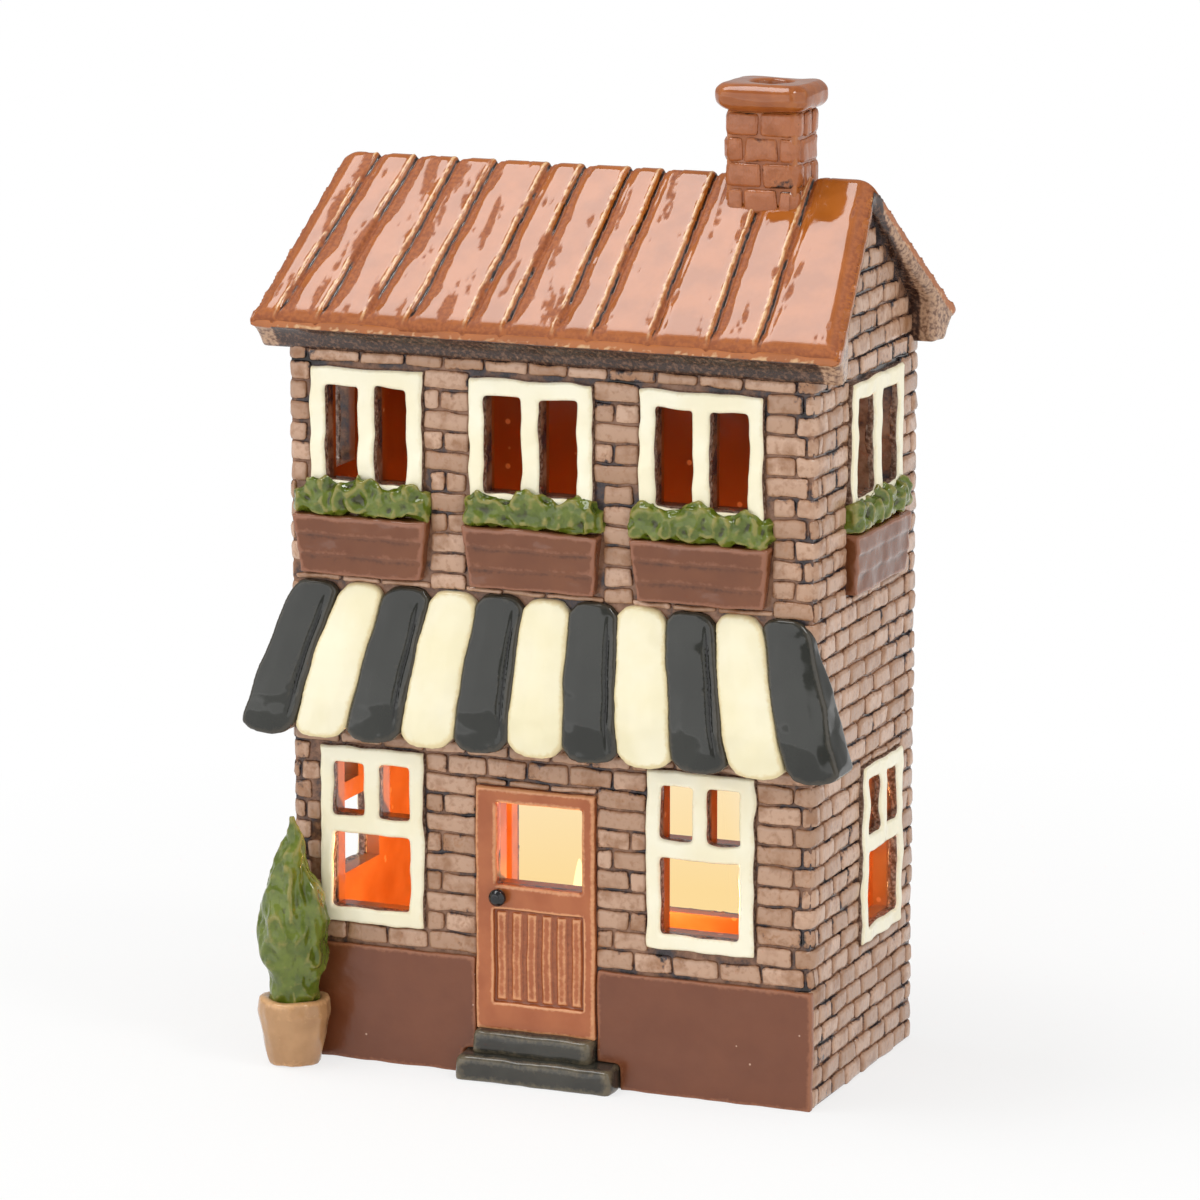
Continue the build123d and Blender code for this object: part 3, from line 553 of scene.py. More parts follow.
def soft_copy(name, nodes, voxel, rounds, hand=0.0, hand_size=8.0, wall=None, swell=0.0):
    """One soft casting of some CAD nodes: merged, rounded as slip and glaze round an edge, and uneven.
    A wall is the axis and side of the face it stands on, where its back is sunk out of sight."""
    piece = bpy.data.objects.new(name + "_cast", bpy.data.meshes.new(name + "_cast"))
    take_up(piece)
    for node in nodes:
        copy = bpy.data.objects.new(node + "_copy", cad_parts[node].data.copy())
        bpy.context.collection.objects.link(copy)
        copy.select_set(True)
    bpy.ops.object.join()
    piece.data.materials.clear()
    bpy.ops.object.mode_set(mode="EDIT")
    bpy.ops.mesh.select_all(action="SELECT")
    bpy.ops.mesh.remove_doubles(threshold=MERGE_REACH * MM)
    bpy.ops.object.mode_set(mode="OBJECT")
    if wall:
        axis, side = wall
        face = side * (FACE_X, FACE_Y)[axis]
        for vertex in piece.data.vertices:
            if abs(vertex.co[axis] - face) < ON_WALL * MM:
                vertex.co[axis] -= side * WALL_SUNK * MM
    modify(piece, "REMESH", mode="VOXEL", voxel_size=voxel * MM)
    modify(piece, "SMOOTH", factor=0.5, iterations=rounds)
    if swell:
        modify(piece, "DISPLACE", mid_level=0.0, strength=swell * MM)
    if hand:
        uneven = bpy.data.textures.new(name, "CLOUDS")
        uneven.cloud_type = "COLOR"
        uneven.noise_scale = hand_size * MM
        uneven.noise_depth = 1
        touch = {"texture": uneven, "texture_coords": "LOCAL", "direction": "RGB_TO_XYZ"}
        modify(piece, "DISPLACE", strength=2 * hand * MM, **touch)
    points, _ = points_and_normals(piece)
    move_points(piece, np.clip(points, *cad_box))
    bpy.ops.object.shade_smooth()
    return piece


def relief_map(piece, rounds=10, span=0.4):
    """Store how far each point stands over the smoothed surface: 0 in hollows, 1 on ridges."""
    points, normals = points_and_normals(piece)
    ends = np.empty(len(piece.data.edges) * 2, dtype=np.int64)
    piece.data.edges.foreach_get("vertices", ends)
    start, end = ends.reshape(-1, 2).T
    degree = np.maximum(np.bincount(ends, minlength=len(points)), 1)[:, None]
    smooth = points
    for _ in range(rounds):
        total = np.zeros_like(smooth)
        np.add.at(total, start, smooth[end])
        np.add.at(total, end, smooth[start])
        smooth = total / degree
    stand = ((points - smooth) * normals).sum(axis=1) / MM
    store(piece, "relief", np.clip(0.5 + stand / (2 * span), 0, 1))


def glaze(name, body, shade, thin, pool, mottle=9.0, ripple=3.0, roughness=0.16, specks=None, under=None,
          worn=None):
    """Glazed earthenware: mottled body colour, thin on ridges, pooled in hollows, rippled and glossy. It
    may have pinholes, a second glaze where the piece looks away, and bare dull patches."""
    material, tree, shader, place = new_material(name)
    relief = add_node(tree, "Attribute", attribute_name="relief")["Fac"]
    clouds, grain, waves = (
        add_node(tree, "TexNoise", {"Vector": place, "Scale": 1 / (size * MM), "Detail": detail})["Fac"]
        for size, detail in ((mottle, 4.0), (GLAZE_GRAIN, 3.0), (ripple, 2.0))
    )
    mottled = add_node(tree, "ValToRGB", {"Fac": clouds}, stops=[(0.38, shade), (0.62, body)])["Color"]
    lift = add_node(tree, "MapRange", {"Value": grain, "To Min": -0.22, "To Max": 0.22})[0]
    level = add_node(tree, "Math", {0: relief, 1: lift}, operation="ADD")[0]
    coats = [(level, 0.66, 0.92, 1.0, linear(thin)), (level, 0.36, 0.12, 1.0, linear(pool))]
    if specks:
        cells = {"Vector": place, "Scale": 1 / (PINHOLE_SPACING * MM)}
        pits = add_node(tree, "TexVoronoi", cells)["Distance"]
        coats.append((pits, 0.055, 0.035, 1.0, linear(specks)))
    if under:
        away = add_node(tree, "Attribute", attribute_name="under")["Fac"]
        plain = add_node(tree, "Attribute", attribute_name="plain")["Fac"]
        away = add_node(tree, "Math", {0: away, 1: lift}, operation="ADD")[0]
        speckle = add_node(tree, "Math", {0: grain, 1: plain}, operation="SUBTRACT")[0]
        second = add_node(tree, "ValToRGB", {"Fac": speckle}, stops=zip((0.2, 0.44, 0.64), under))["Color"]
        coats.append((away, 0.4, 0.6, 1.0, second))
    if worn:
        bare = add_node(tree, "Attribute", attribute_name="worn")["Fac"]
        patch = add_node(tree, "ValToRGB", {"Fac": grain}, stops=zip((0.4, 0.6), worn))["Color"]
        coats.append((bare, 0.0, 1.0, 1.0, patch))
        dull = {"Value": bare, "To Min": roughness, "To Max": BARE_ROUGHNESS}
        tree.links.new(add_node(tree, "MapRange", dull)[0], shader.inputs["Roughness"])
    color = lay_coats(tree, mottled, coats)
    fire_glaze(tree, shader, color, waves, GLAZE_RIPPLE, roughness)
    return material


# Thick chocolate glaze: an even brown with a broad soft shine and a few pale pinholes.
chocolate_glaze = glaze(
    "chocolate_glazed_earthenware", "#784226", "#733E23", "#9A6040", "#52301F",
    roughness=0.26, specks="#C9A48C",
)
for node in ("left_plinth", "right_plinth"):
    piece = soft_copy(node, [node], 0.6, 5, hand=0.25, wall=FRONT)
    relief_map(piece)
    finish_piece(piece, chocolate_glaze, [node])


# Window frames
# Raised frames round the open panes, carved into the cast wall by hand, so no two are alike.
# A thick cream glaze rounds them and leaves a thin tan line along their edges.

WALL_OUTWARD = {FRONT: (0, -1, 0), RIGHT: (1, 0, 0), LEFT: (-1, 0, 0)}
REVEAL_TURN = 0.35
TURN_BLEND = 2.5


def wall_pieces(ending):
    """The CAD nodes with such an ending, each with the wall it stands on."""
    walls = {"front": FRONT, "right": RIGHT, "left": LEFT}
    return [(name, walls[name.split("_")[0]]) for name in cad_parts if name.endswith(ending)]


def turn_map(piece, direction, limit):
    """Store which points look away from a direction, where a second glaze takes over."""
    _, normals = points_and_normals(piece)
    store(piece, "under", np.clip(0.5 + TURN_BLEND * (limit - normals @ np.array(direction)), 0, 1))


# Thick cream glaze: pale, smooth and softly glossy, with the dark joint glaze in the reveals.
cream_glaze = glaze(
    "cream_glazed_earthenware", "#FFF9E0", "#FBF2D2", "#F3E6BE", "#A98558",
    mottle=14.0, roughness=0.2, under=("#4A3428", "#6B4E3E", "#A98D7A"),
)
for node, wall in wall_pieces("_window"):
    piece = soft_copy(node, [node], 0.36, 8, hand=0.5, hand_size=7.0, wall=wall)
    relief_map(piece)
    turn_map(piece, WALL_OUTWARD[wall], REVEAL_TURN)
    finish_piece(piece, cream_glaze, [node])


# Flower boxes
# Three-plank boxes under the upper windows, standing out of the cast wall. The chocolate glaze
# is thin and rosy along the edges of the planks, and dark in the grooves between them.

# Thin chocolate glaze: a wet shine, with every edge and groove drawn by its depth.
box_glaze = glaze(
    "chocolate_glazed_box", "#7A4627", "#723F22", "#945F44", "#552E18", mottle=12.0, roughness=0.14
)
for node, wall in wall_pieces("_flower_box"):
    piece = soft_copy(node, [node], 0.36, 8, hand=0.45, wall=wall)
    relief_map(piece, rounds=8, span=0.14)
    finish_piece(piece, box_glaze, [node])


# Foliage over the flower boxes
# Leaves dabbed into the clay by hand, in glossy winding lumps over the rim of each box. The green
# glaze breaks to olive on their lips and stands dark in the hollows between them.

DAB_SCALE, DAB_SHARE = 2.1, 0.4
LIP_LEVEL = 0.8
LEAF_ROUNDS = 5


def leafy(piece, size, depth, stretch=1.0):
    """Raise winding lips round small hollows on a piece, along its normals, in millimetres."""
    points, normals = points_and_normals(piece)
    for number, (x, y, z) in enumerate(points):
        place = Vector((x, y, z / stretch)) / (size * MM)
        lips = 1 - 2 * abs(noise.noise(place))
        dabs = 1 - 2 * abs(noise.noise(place * DAB_SCALE))
        points[number] += normals[number] * depth * (lips + DAB_SHARE * dabs - LIP_LEVEL) * MM
    move_points(piece, points)
    modify(piece, "SMOOTH", iterations=LEAF_ROUNDS)


# Leaf green glaze: wet and glassy with small sparks, olive where thin and near black where deep.
leaf_glaze = glaze(
    "leaf_green_glazed_earthenware", "#687624", "#4E5E10", "#8A843E", "#3A3C0A", mottle=4.0, roughness=0.06
)
for node, wall in wall_pieces("_foliage"):
    piece = soft_copy(node, [node], 0.4, 6, hand=0.9, hand_size=5.0, wall=wall)
    leafy(piece, 3.5, 1.15)
    relief_map(piece, span=0.42)
    finish_piece(piece, leaf_glaze, [node])


# Awning
# Eleven crowned flutes over the shop front, cast with the wall and glazed in turn charcoal and
# cream. A crease is drawn down the right of each dark flute, and the undersides are bare brown.

FLUTES = 11
AWNING_TOP = 108.6
AWNING_BOTTOM = 75.2
AWNING_HALF_TOP = 61.0
AWNING_HALF_BOTTOM = 71.0
CREASE_PLACE = 0.84
CREASE_HALF = 0.035
CREASE_DEPTH = 0.7
CREASE_WANDER = 0.03
CREASE_FADE = 0.06
LAST_CREASE = 50.0
AWNING_UP = (0, -0.6, 0.8)
AWNING_TURN = -0.45
BARE_BROWN = ("#2E1E12", "#46301F", "#94785F")


def hump(place, middle, half):
    """A smooth rise from 0 to 1 and back round a place."""
    return math.exp(-(((place - middle) / half) ** 2))


def spots(x, y, width, height, layer):
    """Noise at a place on a surface, in spots of some width and height."""
    return noise.noise(Vector((x / width, y / height, layer)))


def crease_flutes(piece):
    """Draw a crease down the right of each flute, fading out near its ends."""
    points, normals = points_and_normals(piece)
    for number, (x, y, z) in enumerate(points / MM):
        climb = (z - AWNING_BOTTOM) / (AWNING_TOP - AWNING_BOTTOM)
        half = AWNING_HALF_BOTTOM + (AWNING_HALF_TOP - AWNING_HALF_BOTTOM) * climb
        across = (x / half + 1) / 2 * FLUTES % 1
        fade = clamp(min(4 * (climb - CREASE_FADE), 6 * (1 - CREASE_FADE - climb)))
        middle = CREASE_PLACE + CREASE_WANDER * spots(x, z, 9, 9, 2)
        if normals[number][1] < -0.2 and x < LAST_CREASE:
            dip = CREASE_DEPTH * fade * hump(across, middle, CREASE_HALF)
            points[number] -= normals[number] * dip * MM
    move_points(piece, points)


# Charcoal glaze: nearly black, deep and glassy, with long clean reflections down each flute.
slate_glaze = glaze(
    "charcoal_glazed_earthenware", "#262721", "#1E1F19", "#3E392F", "#0E0C09",
    mottle=16.0, ripple=7.0, roughness=0.1, under=BARE_BROWN,
)
# Cream glaze on a flute: a shade warmer than on the windows, and tan where it has run off the edges.
awning_cream_glaze = glaze(
    "cream_glazed_flute", "#F5EDCF", "#F0E6C0", "#E8D6A6", "#8F6A40",
    mottle=16.0, ripple=7.0, roughness=0.16, under=BARE_BROWN,
)
awning_glazes = ((slate_glaze, "slate_glaze"), (awning_cream_glaze, "cream_glaze"))
for node, (material, slot) in zip(AWNING_NODES, awning_glazes):
    piece = soft_copy(node, [node], 0.36, 12, hand=0.45, hand_size=9.0, wall=FRONT, swell=0.25)
    if material == slate_glaze:
        crease_flutes(piece)
    relief_map(piece, rounds=12, span=0.3)
    turn_map(piece, AWNING_UP, AWNING_TURN)
    finish_piece(piece, material, [node])


# Door and knob
# A terracotta door leaf standing out of the wall, with an open light and a sunk panel of six
# slats. Its glaze breaks to peach on every edge. The knob is a bead of black glaze.

# Terracotta glaze: cloudy orange brown under a soft gloss, with peach lines along every edge.
terracotta_glaze = glaze(
    "terracotta_glazed_earthenware", "#B4663A", "#A85A30", "#DE9C6C", "#8C4A26", mottle=7.0, roughness=0.18
)
piece = soft_copy("door_leaf", ["door_leaf"], 0.26, 3, hand=0.22, wall=FRONT)
relief_map(piece, span=0.16)
finish_piece(piece, terracotta_glaze, ["door_leaf"])
# Black glaze bead: a drop of black glass with one sharp highlight.
black_glaze = glaze("black_glazed_bead", "#17171A", "#0E0E10", "#2A2A2E", "#08080A", roughness=0.08)
piece = soft_copy("door_knob", ["door_knob"], 0.2, 8)
relief_map(piece)
finish_piece(piece, black_glaze, ["door_knob"])


# Doorsteps
# Two worn steps cast with the front wall, in the same charcoal glaze as the awning, thin and pale
# on their noses.

# Charcoal glaze on a step: dark grey with a soft gloss, and brownish where it is thin.
step_glaze = glaze(
    "charcoal_glazed_step", "#3C3A33", "#312F29", "#6A604C", "#201A13", mottle=10.0, roughness=0.18
)
for node in ("upper_step", "lower_step"):
    piece = soft_copy(node, [node], 0.45, 34, hand=0.4, wall=FRONT, swell=0.35)
    relief_map(piece)
    finish_piece(piece, step_glaze, [node])


# Plant pot and shrub
# A small sand-coloured pot with a clipped shrub at the left corner, cast with the front wall.
# The shrub is leafy in long lumps under a glossy green glaze.

# Sand glaze: mottled tan with a soft gloss, and brown where it pools under the rim.
sand_glaze = glaze(
    "sand_glazed_earthenware", "#BC9064", "#AE8358", "#D6A674", "#5E3C1E", mottle=6.0, roughness=0.16
)
piece = soft_copy("plant_pot", ["plant_pot"], 0.45, 12, hand=0.6)
relief_map(piece)
finish_piece(piece, sand_glaze, ["plant_pot"])
piece = soft_copy("shrub", ["shrub"], 0.45, 10, hand=0.9, hand_size=10.0)
leafy(piece, 4.4, 1.2, stretch=1.9)
relief_map(piece, span=0.45)
finish_piece(piece, leaf_glaze, ["shrub"])


# Roof body
# The slab of both slopes, cast with the house, with a rounded ridge, verges and eaves. Rust glaze
# runs down to the eaves, and speckled brown glaze takes over on the undersides.

ROOF_NODES = ("front_roof_slope", "back_roof_slope")
RIDGE_TOP = 199.7
RIDGE_HALF = 62.6
RIDGE_ROUND = 1.6
EAVE_TOP = 167.2
EAVE_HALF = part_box("front_roof_slope")[1].x / MM
EAVE_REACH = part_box("back_roof_slope")[1].y / MM
SLOPE_ANGLE = math.atan2(RIDGE_TOP - EAVE_TOP, EAVE_REACH)
SLOPE_LENGTH = math.hypot(RIDGE_TOP - EAVE_TOP, EAVE_REACH)
RIDGE_TANGENT = RIDGE_ROUND * math.tan(SLOPE_ANGLE)
BRICKS_OUT = 0.8
VERGE_WIDTH = 5.0
ROOF_RIM = 2.2
ROOF_SUNK = 1.4
VERGE_GLAZE = 2.9
EAVE_GLAZE = 0.5
GLAZE_FADE = 2.0
EAVE_SPECKLE, VERGE_SPECKLE = 0.28, -0.06
SPECKLE_SIZE = 0.9
RIM_ROLL = 4.2
ROLL_DROP = 0.9
EAVE_THIN = 0.5
ROOF_SWELL = 0.4
RIM_SUNK = 0.25
RUST, DEEP_RUST = "#AE6226", "#9E561C"


def slope_turn(reach):
    """How far the roof's surface has turned from level at a distance down from the ridge."""
    return SLOPE_ANGLE * min(reach / RIDGE_TANGENT, 1)


def slope_half(reach):
    """Half the length of the roof at a distance down from the ridge."""
    return RIDGE_HALF + (EAVE_HALF - RIDGE_HALF) * reach / SLOPE_LENGTH


def to_rim(x, reach):
    """How far a place on the roof is from its rim."""
    return min(slope_half(reach) - abs(x), SLOPE_LENGTH - reach)


def rim_roll(rim):
    """How far the roof's surface has rolled down at a distance from its rim."""
    return ROLL_DROP * clamp((RIM_ROLL - rim) / RIM_ROLL) ** 2


# Rust glaze on the slab: warm orange brown with a dull shine, speckled dark brown underneath.
rust_glaze = glaze(
    "rust_glazed_earthenware", RUST, DEEP_RUST, "#D2A474", "#3A2010",
    mottle=8.0, ripple=6.0, roughness=0.24, under=("#38221A", "#7A5844", "#BE987A"),
)
piece = soft_copy("roof", ROOF_NODES, 0.75, 6, hand=0.15, hand_size=12.0, swell=ROOF_SWELL)
points, normals = points_and_normals(piece)
slope_level = RIDGE_TOP - math.tan(SLOPE_ANGLE) * abs(points[:, 1]) / MM
wall_reach = FACE_Y / MM + BRICKS_OUT
overhang = np.clip((abs(points[:, 1]) / MM - wall_reach) / (EAVE_REACH - wall_reach), 0, 1)
points[:, 2] += np.maximum(slope_level * MM - points[:, 2], 0) * EAVE_THIN * overhang
depth = (slope_level - points[:, 2] / MM) * math.cos(SLOPE_ANGLE)
at_eave = abs(points[:, 0]) / MM < EAVE_HALF - VERGE_WIDTH
under = np.clip((depth - np.where(at_eave, EAVE_GLAZE, VERGE_GLAZE)) / GLAZE_FADE + 0.5, 0, 1)
reliefs = []
for number, (x, y, z) in enumerate(points):
    reach = abs(y) / MM / math.cos(SLOPE_ANGLE)
    turn = math.copysign(slope_turn(reach), y)
    upward = np.array((0, math.sin(turn), math.cos(turn)))
    rim = to_rim(x / MM, reach)
    facing = normals[number].dot(upward)
    drop = (rim_roll(rim) + ROOF_SWELL + RIM_SUNK) * clamp((facing + 0.2) / 0.8)
    if rim > ROOF_RIM and facing > 0.6:
        drop += ROOF_SUNK
    points[number] -= upward * drop * MM
    dabs = noise.noise(Vector((x, y, z)) / (SPECKLE_SIZE * MM))
    reliefs.append(clamp(0.5 + hump(under[number], 0.4, 0.25) * (0.2 + 0.7 * dabs)))
store(piece, "under", under)
store(piece, "plain", np.where(at_eave, EAVE_SPECKLE, VERGE_SPECKLE))
store(piece, "relief", reliefs)
move_points(piece, points)
finish_piece(piece, rust_glaze, ROOF_NODES)


# Roof planks
# The planked skin of the roof, part of the same casting. Grooves drawn by hand part planks of
# uneven width: glaze pools black in a groove and breaks tan on the burr along its left side.

PLANK_WIDTHS = (6.5, 10.0, 11.0, 10.0, 14.0, 9.0, 12.0, 8.5, 13.5, 13.5, 11.0)
PLANK_LEAN = 3.0
PLANK_RISE, PLANK_WAVE = 0.2, 0.1
GROOVE_DEPTH = 0.9
GROOVE_HALF = 0.56
GROOVE_WANDER = 0.45
GROOVE_REACH = 6.0
BURR_RISE = 0.18
BURR_MIDDLE = -1.05
BURR_HALF = 0.62
HOLLOW_DEPTH = 0.22
HOLLOW_MIDDLE = 1.3
HOLLOW_HALF = 0.8
DENT_DEPTH = 0.14
WORN_LEFT, WORN_RIGHT = 2.7, 0.5
RIM_TUCK = 3.4
TUCK_DROP = 0.8
RUN_OUT = 2.5
SKIN = 0.6
FLUE_HALF = (5.5, 4.8)


def plank_surface(x, down):
    """Height, relief and wear of the planks at a place on the roof; down is negative on the front slope.
    Wear lies along the right of each groove and in long dents, and all round the rim."""
    reach = abs(down)
    rim = to_rim(x, reach)
    run = clamp((rim - ROOF_RIM) / RUN_OUT)
    height = PLANK_RISE + PLANK_WAVE * spots(x, down, 9, 14, 3)
    relief = 0.5
    worn = 0.0
    ragged = spots(x, down, 0.9, 2.2, 5)
    eave_x = -EAVE_HALF
    for number, width in enumerate(PLANK_WIDTHS):
        eave_x += width
        climb = eave_x * RIDGE_HALF / EAVE_HALF + PLANK_LEAN - eave_x
        wander = GROOVE_WANDER * spots(5.3 * number, down, 1, 15, 7)
        side = x - (eave_x + climb * (1 - reach / SLOPE_LENGTH) + wander)
        if abs(side) > GROOVE_REACH:
            continue
        if side > 0:
            bare = WORN_LEFT + (WORN_RIGHT - WORN_LEFT) * (x + EAVE_HALF) / (2 * EAVE_HALF)
            bare += 2.6 * spots(3.7 * number, down, 1, 11, 13) + 0.8 * ragged
            worn = max(worn, clamp((bare - abs(side - 0.2)) / 0.3))
        groove = hump(side, 0, GROOVE_HALF)
        burr = hump(side, BURR_MIDDLE, BURR_HALF) * (0.75 + 0.9 * spots(x, down, 0.7, 1.0, 1))
        height += BURR_RISE * burr - GROOVE_DEPTH * groove * run
        height -= HOLLOW_DEPTH * run * hump(side, HOLLOW_MIDDLE, HOLLOW_HALF)
        relief += 0.55 * burr - 0.7 * groove
    dent = spots(x, down, 3.2, 17, 11) + 0.3 * spots(x, down, 1.4, 10, 17) + 0.35 * ragged
    dent -= 0.2 + 0.002 * (x + EAVE_HALF)
    worn = max(worn, clamp(dent / 0.06))
    height -= DENT_DEPTH * run * worn
    tuck = clamp((RIM_TUCK - rim) / RIM_TUCK)
    return height - TUCK_DROP * tuck**2 - rim_roll(rim), clamp(relief), max(worn, clamp(1.6 * tuck))


def roof_point(x, down, rise):
    """A point over the roof's surface, in millimetres."""
    reach = abs(down)
    turn = slope_turn(reach)
    flat = max(reach - RIDGE_TANGENT, 0)
    out = RIDGE_ROUND + rise
    y = out * math.sin(turn) + flat * math.cos(SLOPE_ANGLE)
    middle = RIDGE_TOP - RIDGE_ROUND / math.cos(SLOPE_ANGLE)
    return Vector((x, math.copysign(y, down), middle + out * math.cos(turn) - flat * math.sin(SLOPE_ANGLE)))


def over_flue(vertex):
    """Whether a point of the skin is over the flue, where the chimney stands."""
    aside = vertex.co / MM - stack_middle
    return abs(aside.x) < FLUE_HALF[0] and abs(aside.y) < FLUE_HALF[1]


stack_low, stack_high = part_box("chimney_stack")
stack_middle = (stack_low + stack_high) / 2 / MM
bpy.ops.object.select_all(action="DESELECT")
bpy.ops.mesh.primitive_grid_add(x_subdivisions=400, y_subdivisions=104, size=2.0)
piece = bpy.context.active_object
piece.name = "roof_planks"
reliefs, wear = [], []
for vertex in piece.data.vertices:
    down = vertex.co.y * SLOPE_LENGTH
    x = vertex.co.x * slope_half(abs(down))
    rise, relief, worn = plank_surface(x, down)
    vertex.co = roof_point(x, down, rise) * MM
    reliefs.append(relief)
    wear.append(worn)
store(piece, "relief", reliefs)
store(piece, "worn", wear)
select_parts(piece, "VERT", over_flue)
bpy.ops.mesh.delete(type="VERT")
bpy.ops.object.mode_set(mode="OBJECT")
modify(piece, "SOLIDIFY", thickness=SKIN * MM, offset=-1.0)
bpy.ops.object.shade_smooth()
# Rust glaze on the planks: a wet mirror that shows the lamps, broken by dull streaks and black grooves.
plank_glaze = glaze(
    "rust_glazed_planks", RUST, DEEP_RUST, "#DCB080", "#1E120A", mottle=8.0, ripple=7.0, roughness=0.06,
    worn=("#8E4614", "#A65A22"),
)
piece.data.materials.append(plank_glaze)
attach(piece, "house")


# Chimney
# A brick stack astride the ridge with a heavy rounded cap, and a flue through both for the
# candle's warm air. The rust glaze softens the bricks until their joints nearly close.

STACK_COURSES = 5
STACK_FOOT = 186.1
STACK_GROUT = 0.25
STACK_SEED = 10
CAP_SPREAD = 0.1
STACK_JOINTS = ((0.42, "#96522A"), (0.52, "#80421C"), (0.6, "#4A2A1A"), (0.68, "#21120A"))
stack_half = (stack_high - stack_low) / 2 / MM
stack_top = stack_high.z / MM
stack_pitch = (stack_top - STACK_FOOT) / STACK_COURSES
# Rust glaze on the stack and cap: smooth, glossy orange brown, dark only where it pools.
stack_glaze = glaze(
    "rust_glazed_chimney", "#A65E2A", "#965020", "#B06830", "#4A2614",
    mottle=5.0, ripple=4.0, roughness=0.12,
)
# Rust glaze on the stack's bricks: glossy and close in tone, with brown lines for joints, drawn darker by
# painted shade in the top 3 mm under the cap.
rust_brick_glaze = brick_glaze(
    "rust_glazed_brick", "#B46C42", "#A86236", "#98521E", "#B87040",
    STACK_JOINTS, (stack_top - 3, stack_top),
)
piece = soft_copy("chimney_stack", ["chimney_stack"], 0.45, 3, swell=STACK_GROUT)
relief_map(piece)
finish_piece(piece, stack_glaze, ["chimney_stack"])
draw = random.Random(STACK_SEED)
stack_sides = (
    ((1, 0, 0), (0, -1, 0), stack_half.y - stack_middle.y, stack_half.x, stack_middle.x),
    ((-1, 0, 0), (0, 1, 0), stack_half.y + stack_middle.y, stack_half.x, -stack_middle.x),
    ((0, 1, 0), (1, 0, 0), stack_half.x + stack_middle.x, stack_half.y, stack_middle.y),
    ((0, -1, 0), (-1, 0, 0), stack_half.x - stack_middle.x, stack_half.y, -stack_middle.y),
)
sides = []
for number, (along, outward, plane, half, middle) in enumerate(stack_sides):
    lapping, stopping = corner_reaches(half)
    reaches = (lapping, stopping) if number < 2 else (stopping, lapping)
    bricks = course_bricks(reaches, STACK_FOOT, stack_top, [], draw, stack_pitch)
    bricks = [brick for brick in bricks if brick[3] > stack_low.z / MM]
    side = lay_bricks(f"chimney_bricks_{number}", bricks, along, outward, plane, half, draw, middle)
    sides.append(side)
for side in sides:
    side.select_set(True)
piece = sides[0]
bpy.context.view_layer.objects.active = piece
bpy.ops.object.join()
piece.name = "chimney_bricks"
finish_piece(piece, rust_brick_glaze, ["chimney_brickwork"])
piece = soft_copy("chimney_cap", ["chimney_cap"], 0.4, 34, hand=0.35)
points, _ = points_and_normals(piece)
points[:, :2] += (points[:, :2] - np.array(stack_middle[:2]) * MM) * CAP_SPREAD
move_points(piece, points)
relief_map(piece)
finish_piece(piece, stack_glaze, ["chimney_cap"])


# Tealight
# A loose tealight in the middle of the house: a pressed aluminium cup, white wax that has melted
# round the wick, and a charred cotton wick held by a small tinned disc under the wax.

CUP_SIDES, DISC_SIDES, WICK_SIDES = 72, 32, 12
CUP_WALL = 0.4
TURNED_SMOOTH = math.radians(40)


def clouded(name, color, second, size, roughness, metallic=0.0):
    """A material of two close colours in soft clouds of some size, which also dent it a little."""
    material, tree, shader, place = new_material(name)
    clouds = add_node(tree, "TexNoise", {"Vector": place, "Scale": 1 / (size * MM), "Detail": 4.0})["Fac"]
    ramp = add_node(tree, "ValToRGB", {"Fac": clouds}, stops=[(0.35, color), (0.65, second)])
    bump = add_node(tree, "Bump", {"Height": clouds, "Strength": 0.15, "Distance": 0.2 * MM})
    tree.links.new(ramp["Color"], shader.inputs["Base Color"])
    tree.links.new(bump["Normal"], shader.inputs["Normal"])
    shader.inputs["Roughness"].default_value = roughness
    shader.inputs["Metallic"].default_value = metallic
    return material


def turned(name, low, high, axis, sides, inset, sink, bevel):
    """A round piece between two heights, its top sunk inside a rim and its edges softened."""
    bpy.ops.object.select_all(action="DESELECT")
    middle = (axis.x, axis.y, (low.z + high.z) / 2)
    size = {"radius": high.x - axis.x, "depth": high.z - low.z}
    bpy.ops.mesh.primitive_cylinder_add(vertices=sides, location=middle, **size)
    piece = bpy.context.active_object
    piece.name = name
    bpy.ops.object.transform_apply(location=True)
    select_parts(piece, "FACE", lambda face: face.normal.z > 0.9)
    bpy.ops.mesh.inset(thickness=inset * MM)
    bpy.ops.mesh.extrude_region_move(TRANSFORM_OT_translate={"value": (0, 0, -sink * MM)})
    bpy.ops.object.mode_set(mode="OBJECT")
    modify(piece, "BEVEL", width=bevel * MM, segments=2)
    bpy.ops.object.shade_smooth_by_angle(angle=TURNED_SMOOTH)
    return piece


cup_low, cup_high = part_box("tealight_cup")
wax_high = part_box("tealight_wax")[1]
wick_low, wick_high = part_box("wick")
disc_low, disc_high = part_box("wick_sustainer")
axis = (wick_low + wick_high) / 2
cup_depth = (cup_high.z - disc_low.z) / MM
# Pressed foil: bright soft metal with small dents.
aluminium = clouded("pressed_aluminium_foil", "#C9CACC", "#DADBDD", 2.0, 0.25, metallic=1.0)
# Melted wax: creamy white, even and slightly shiny.
candle_wax = clouded("melted_candle_wax", "#F3ECDD", "#FBF6EA", 8.0, 0.3)
# Tinned steel: plain grey metal with a dull shine.
tinned_steel = clouded("tinned_steel", "#A9A9A8", "#C4C4C2", 3.0, 0.35, metallic=1.0)
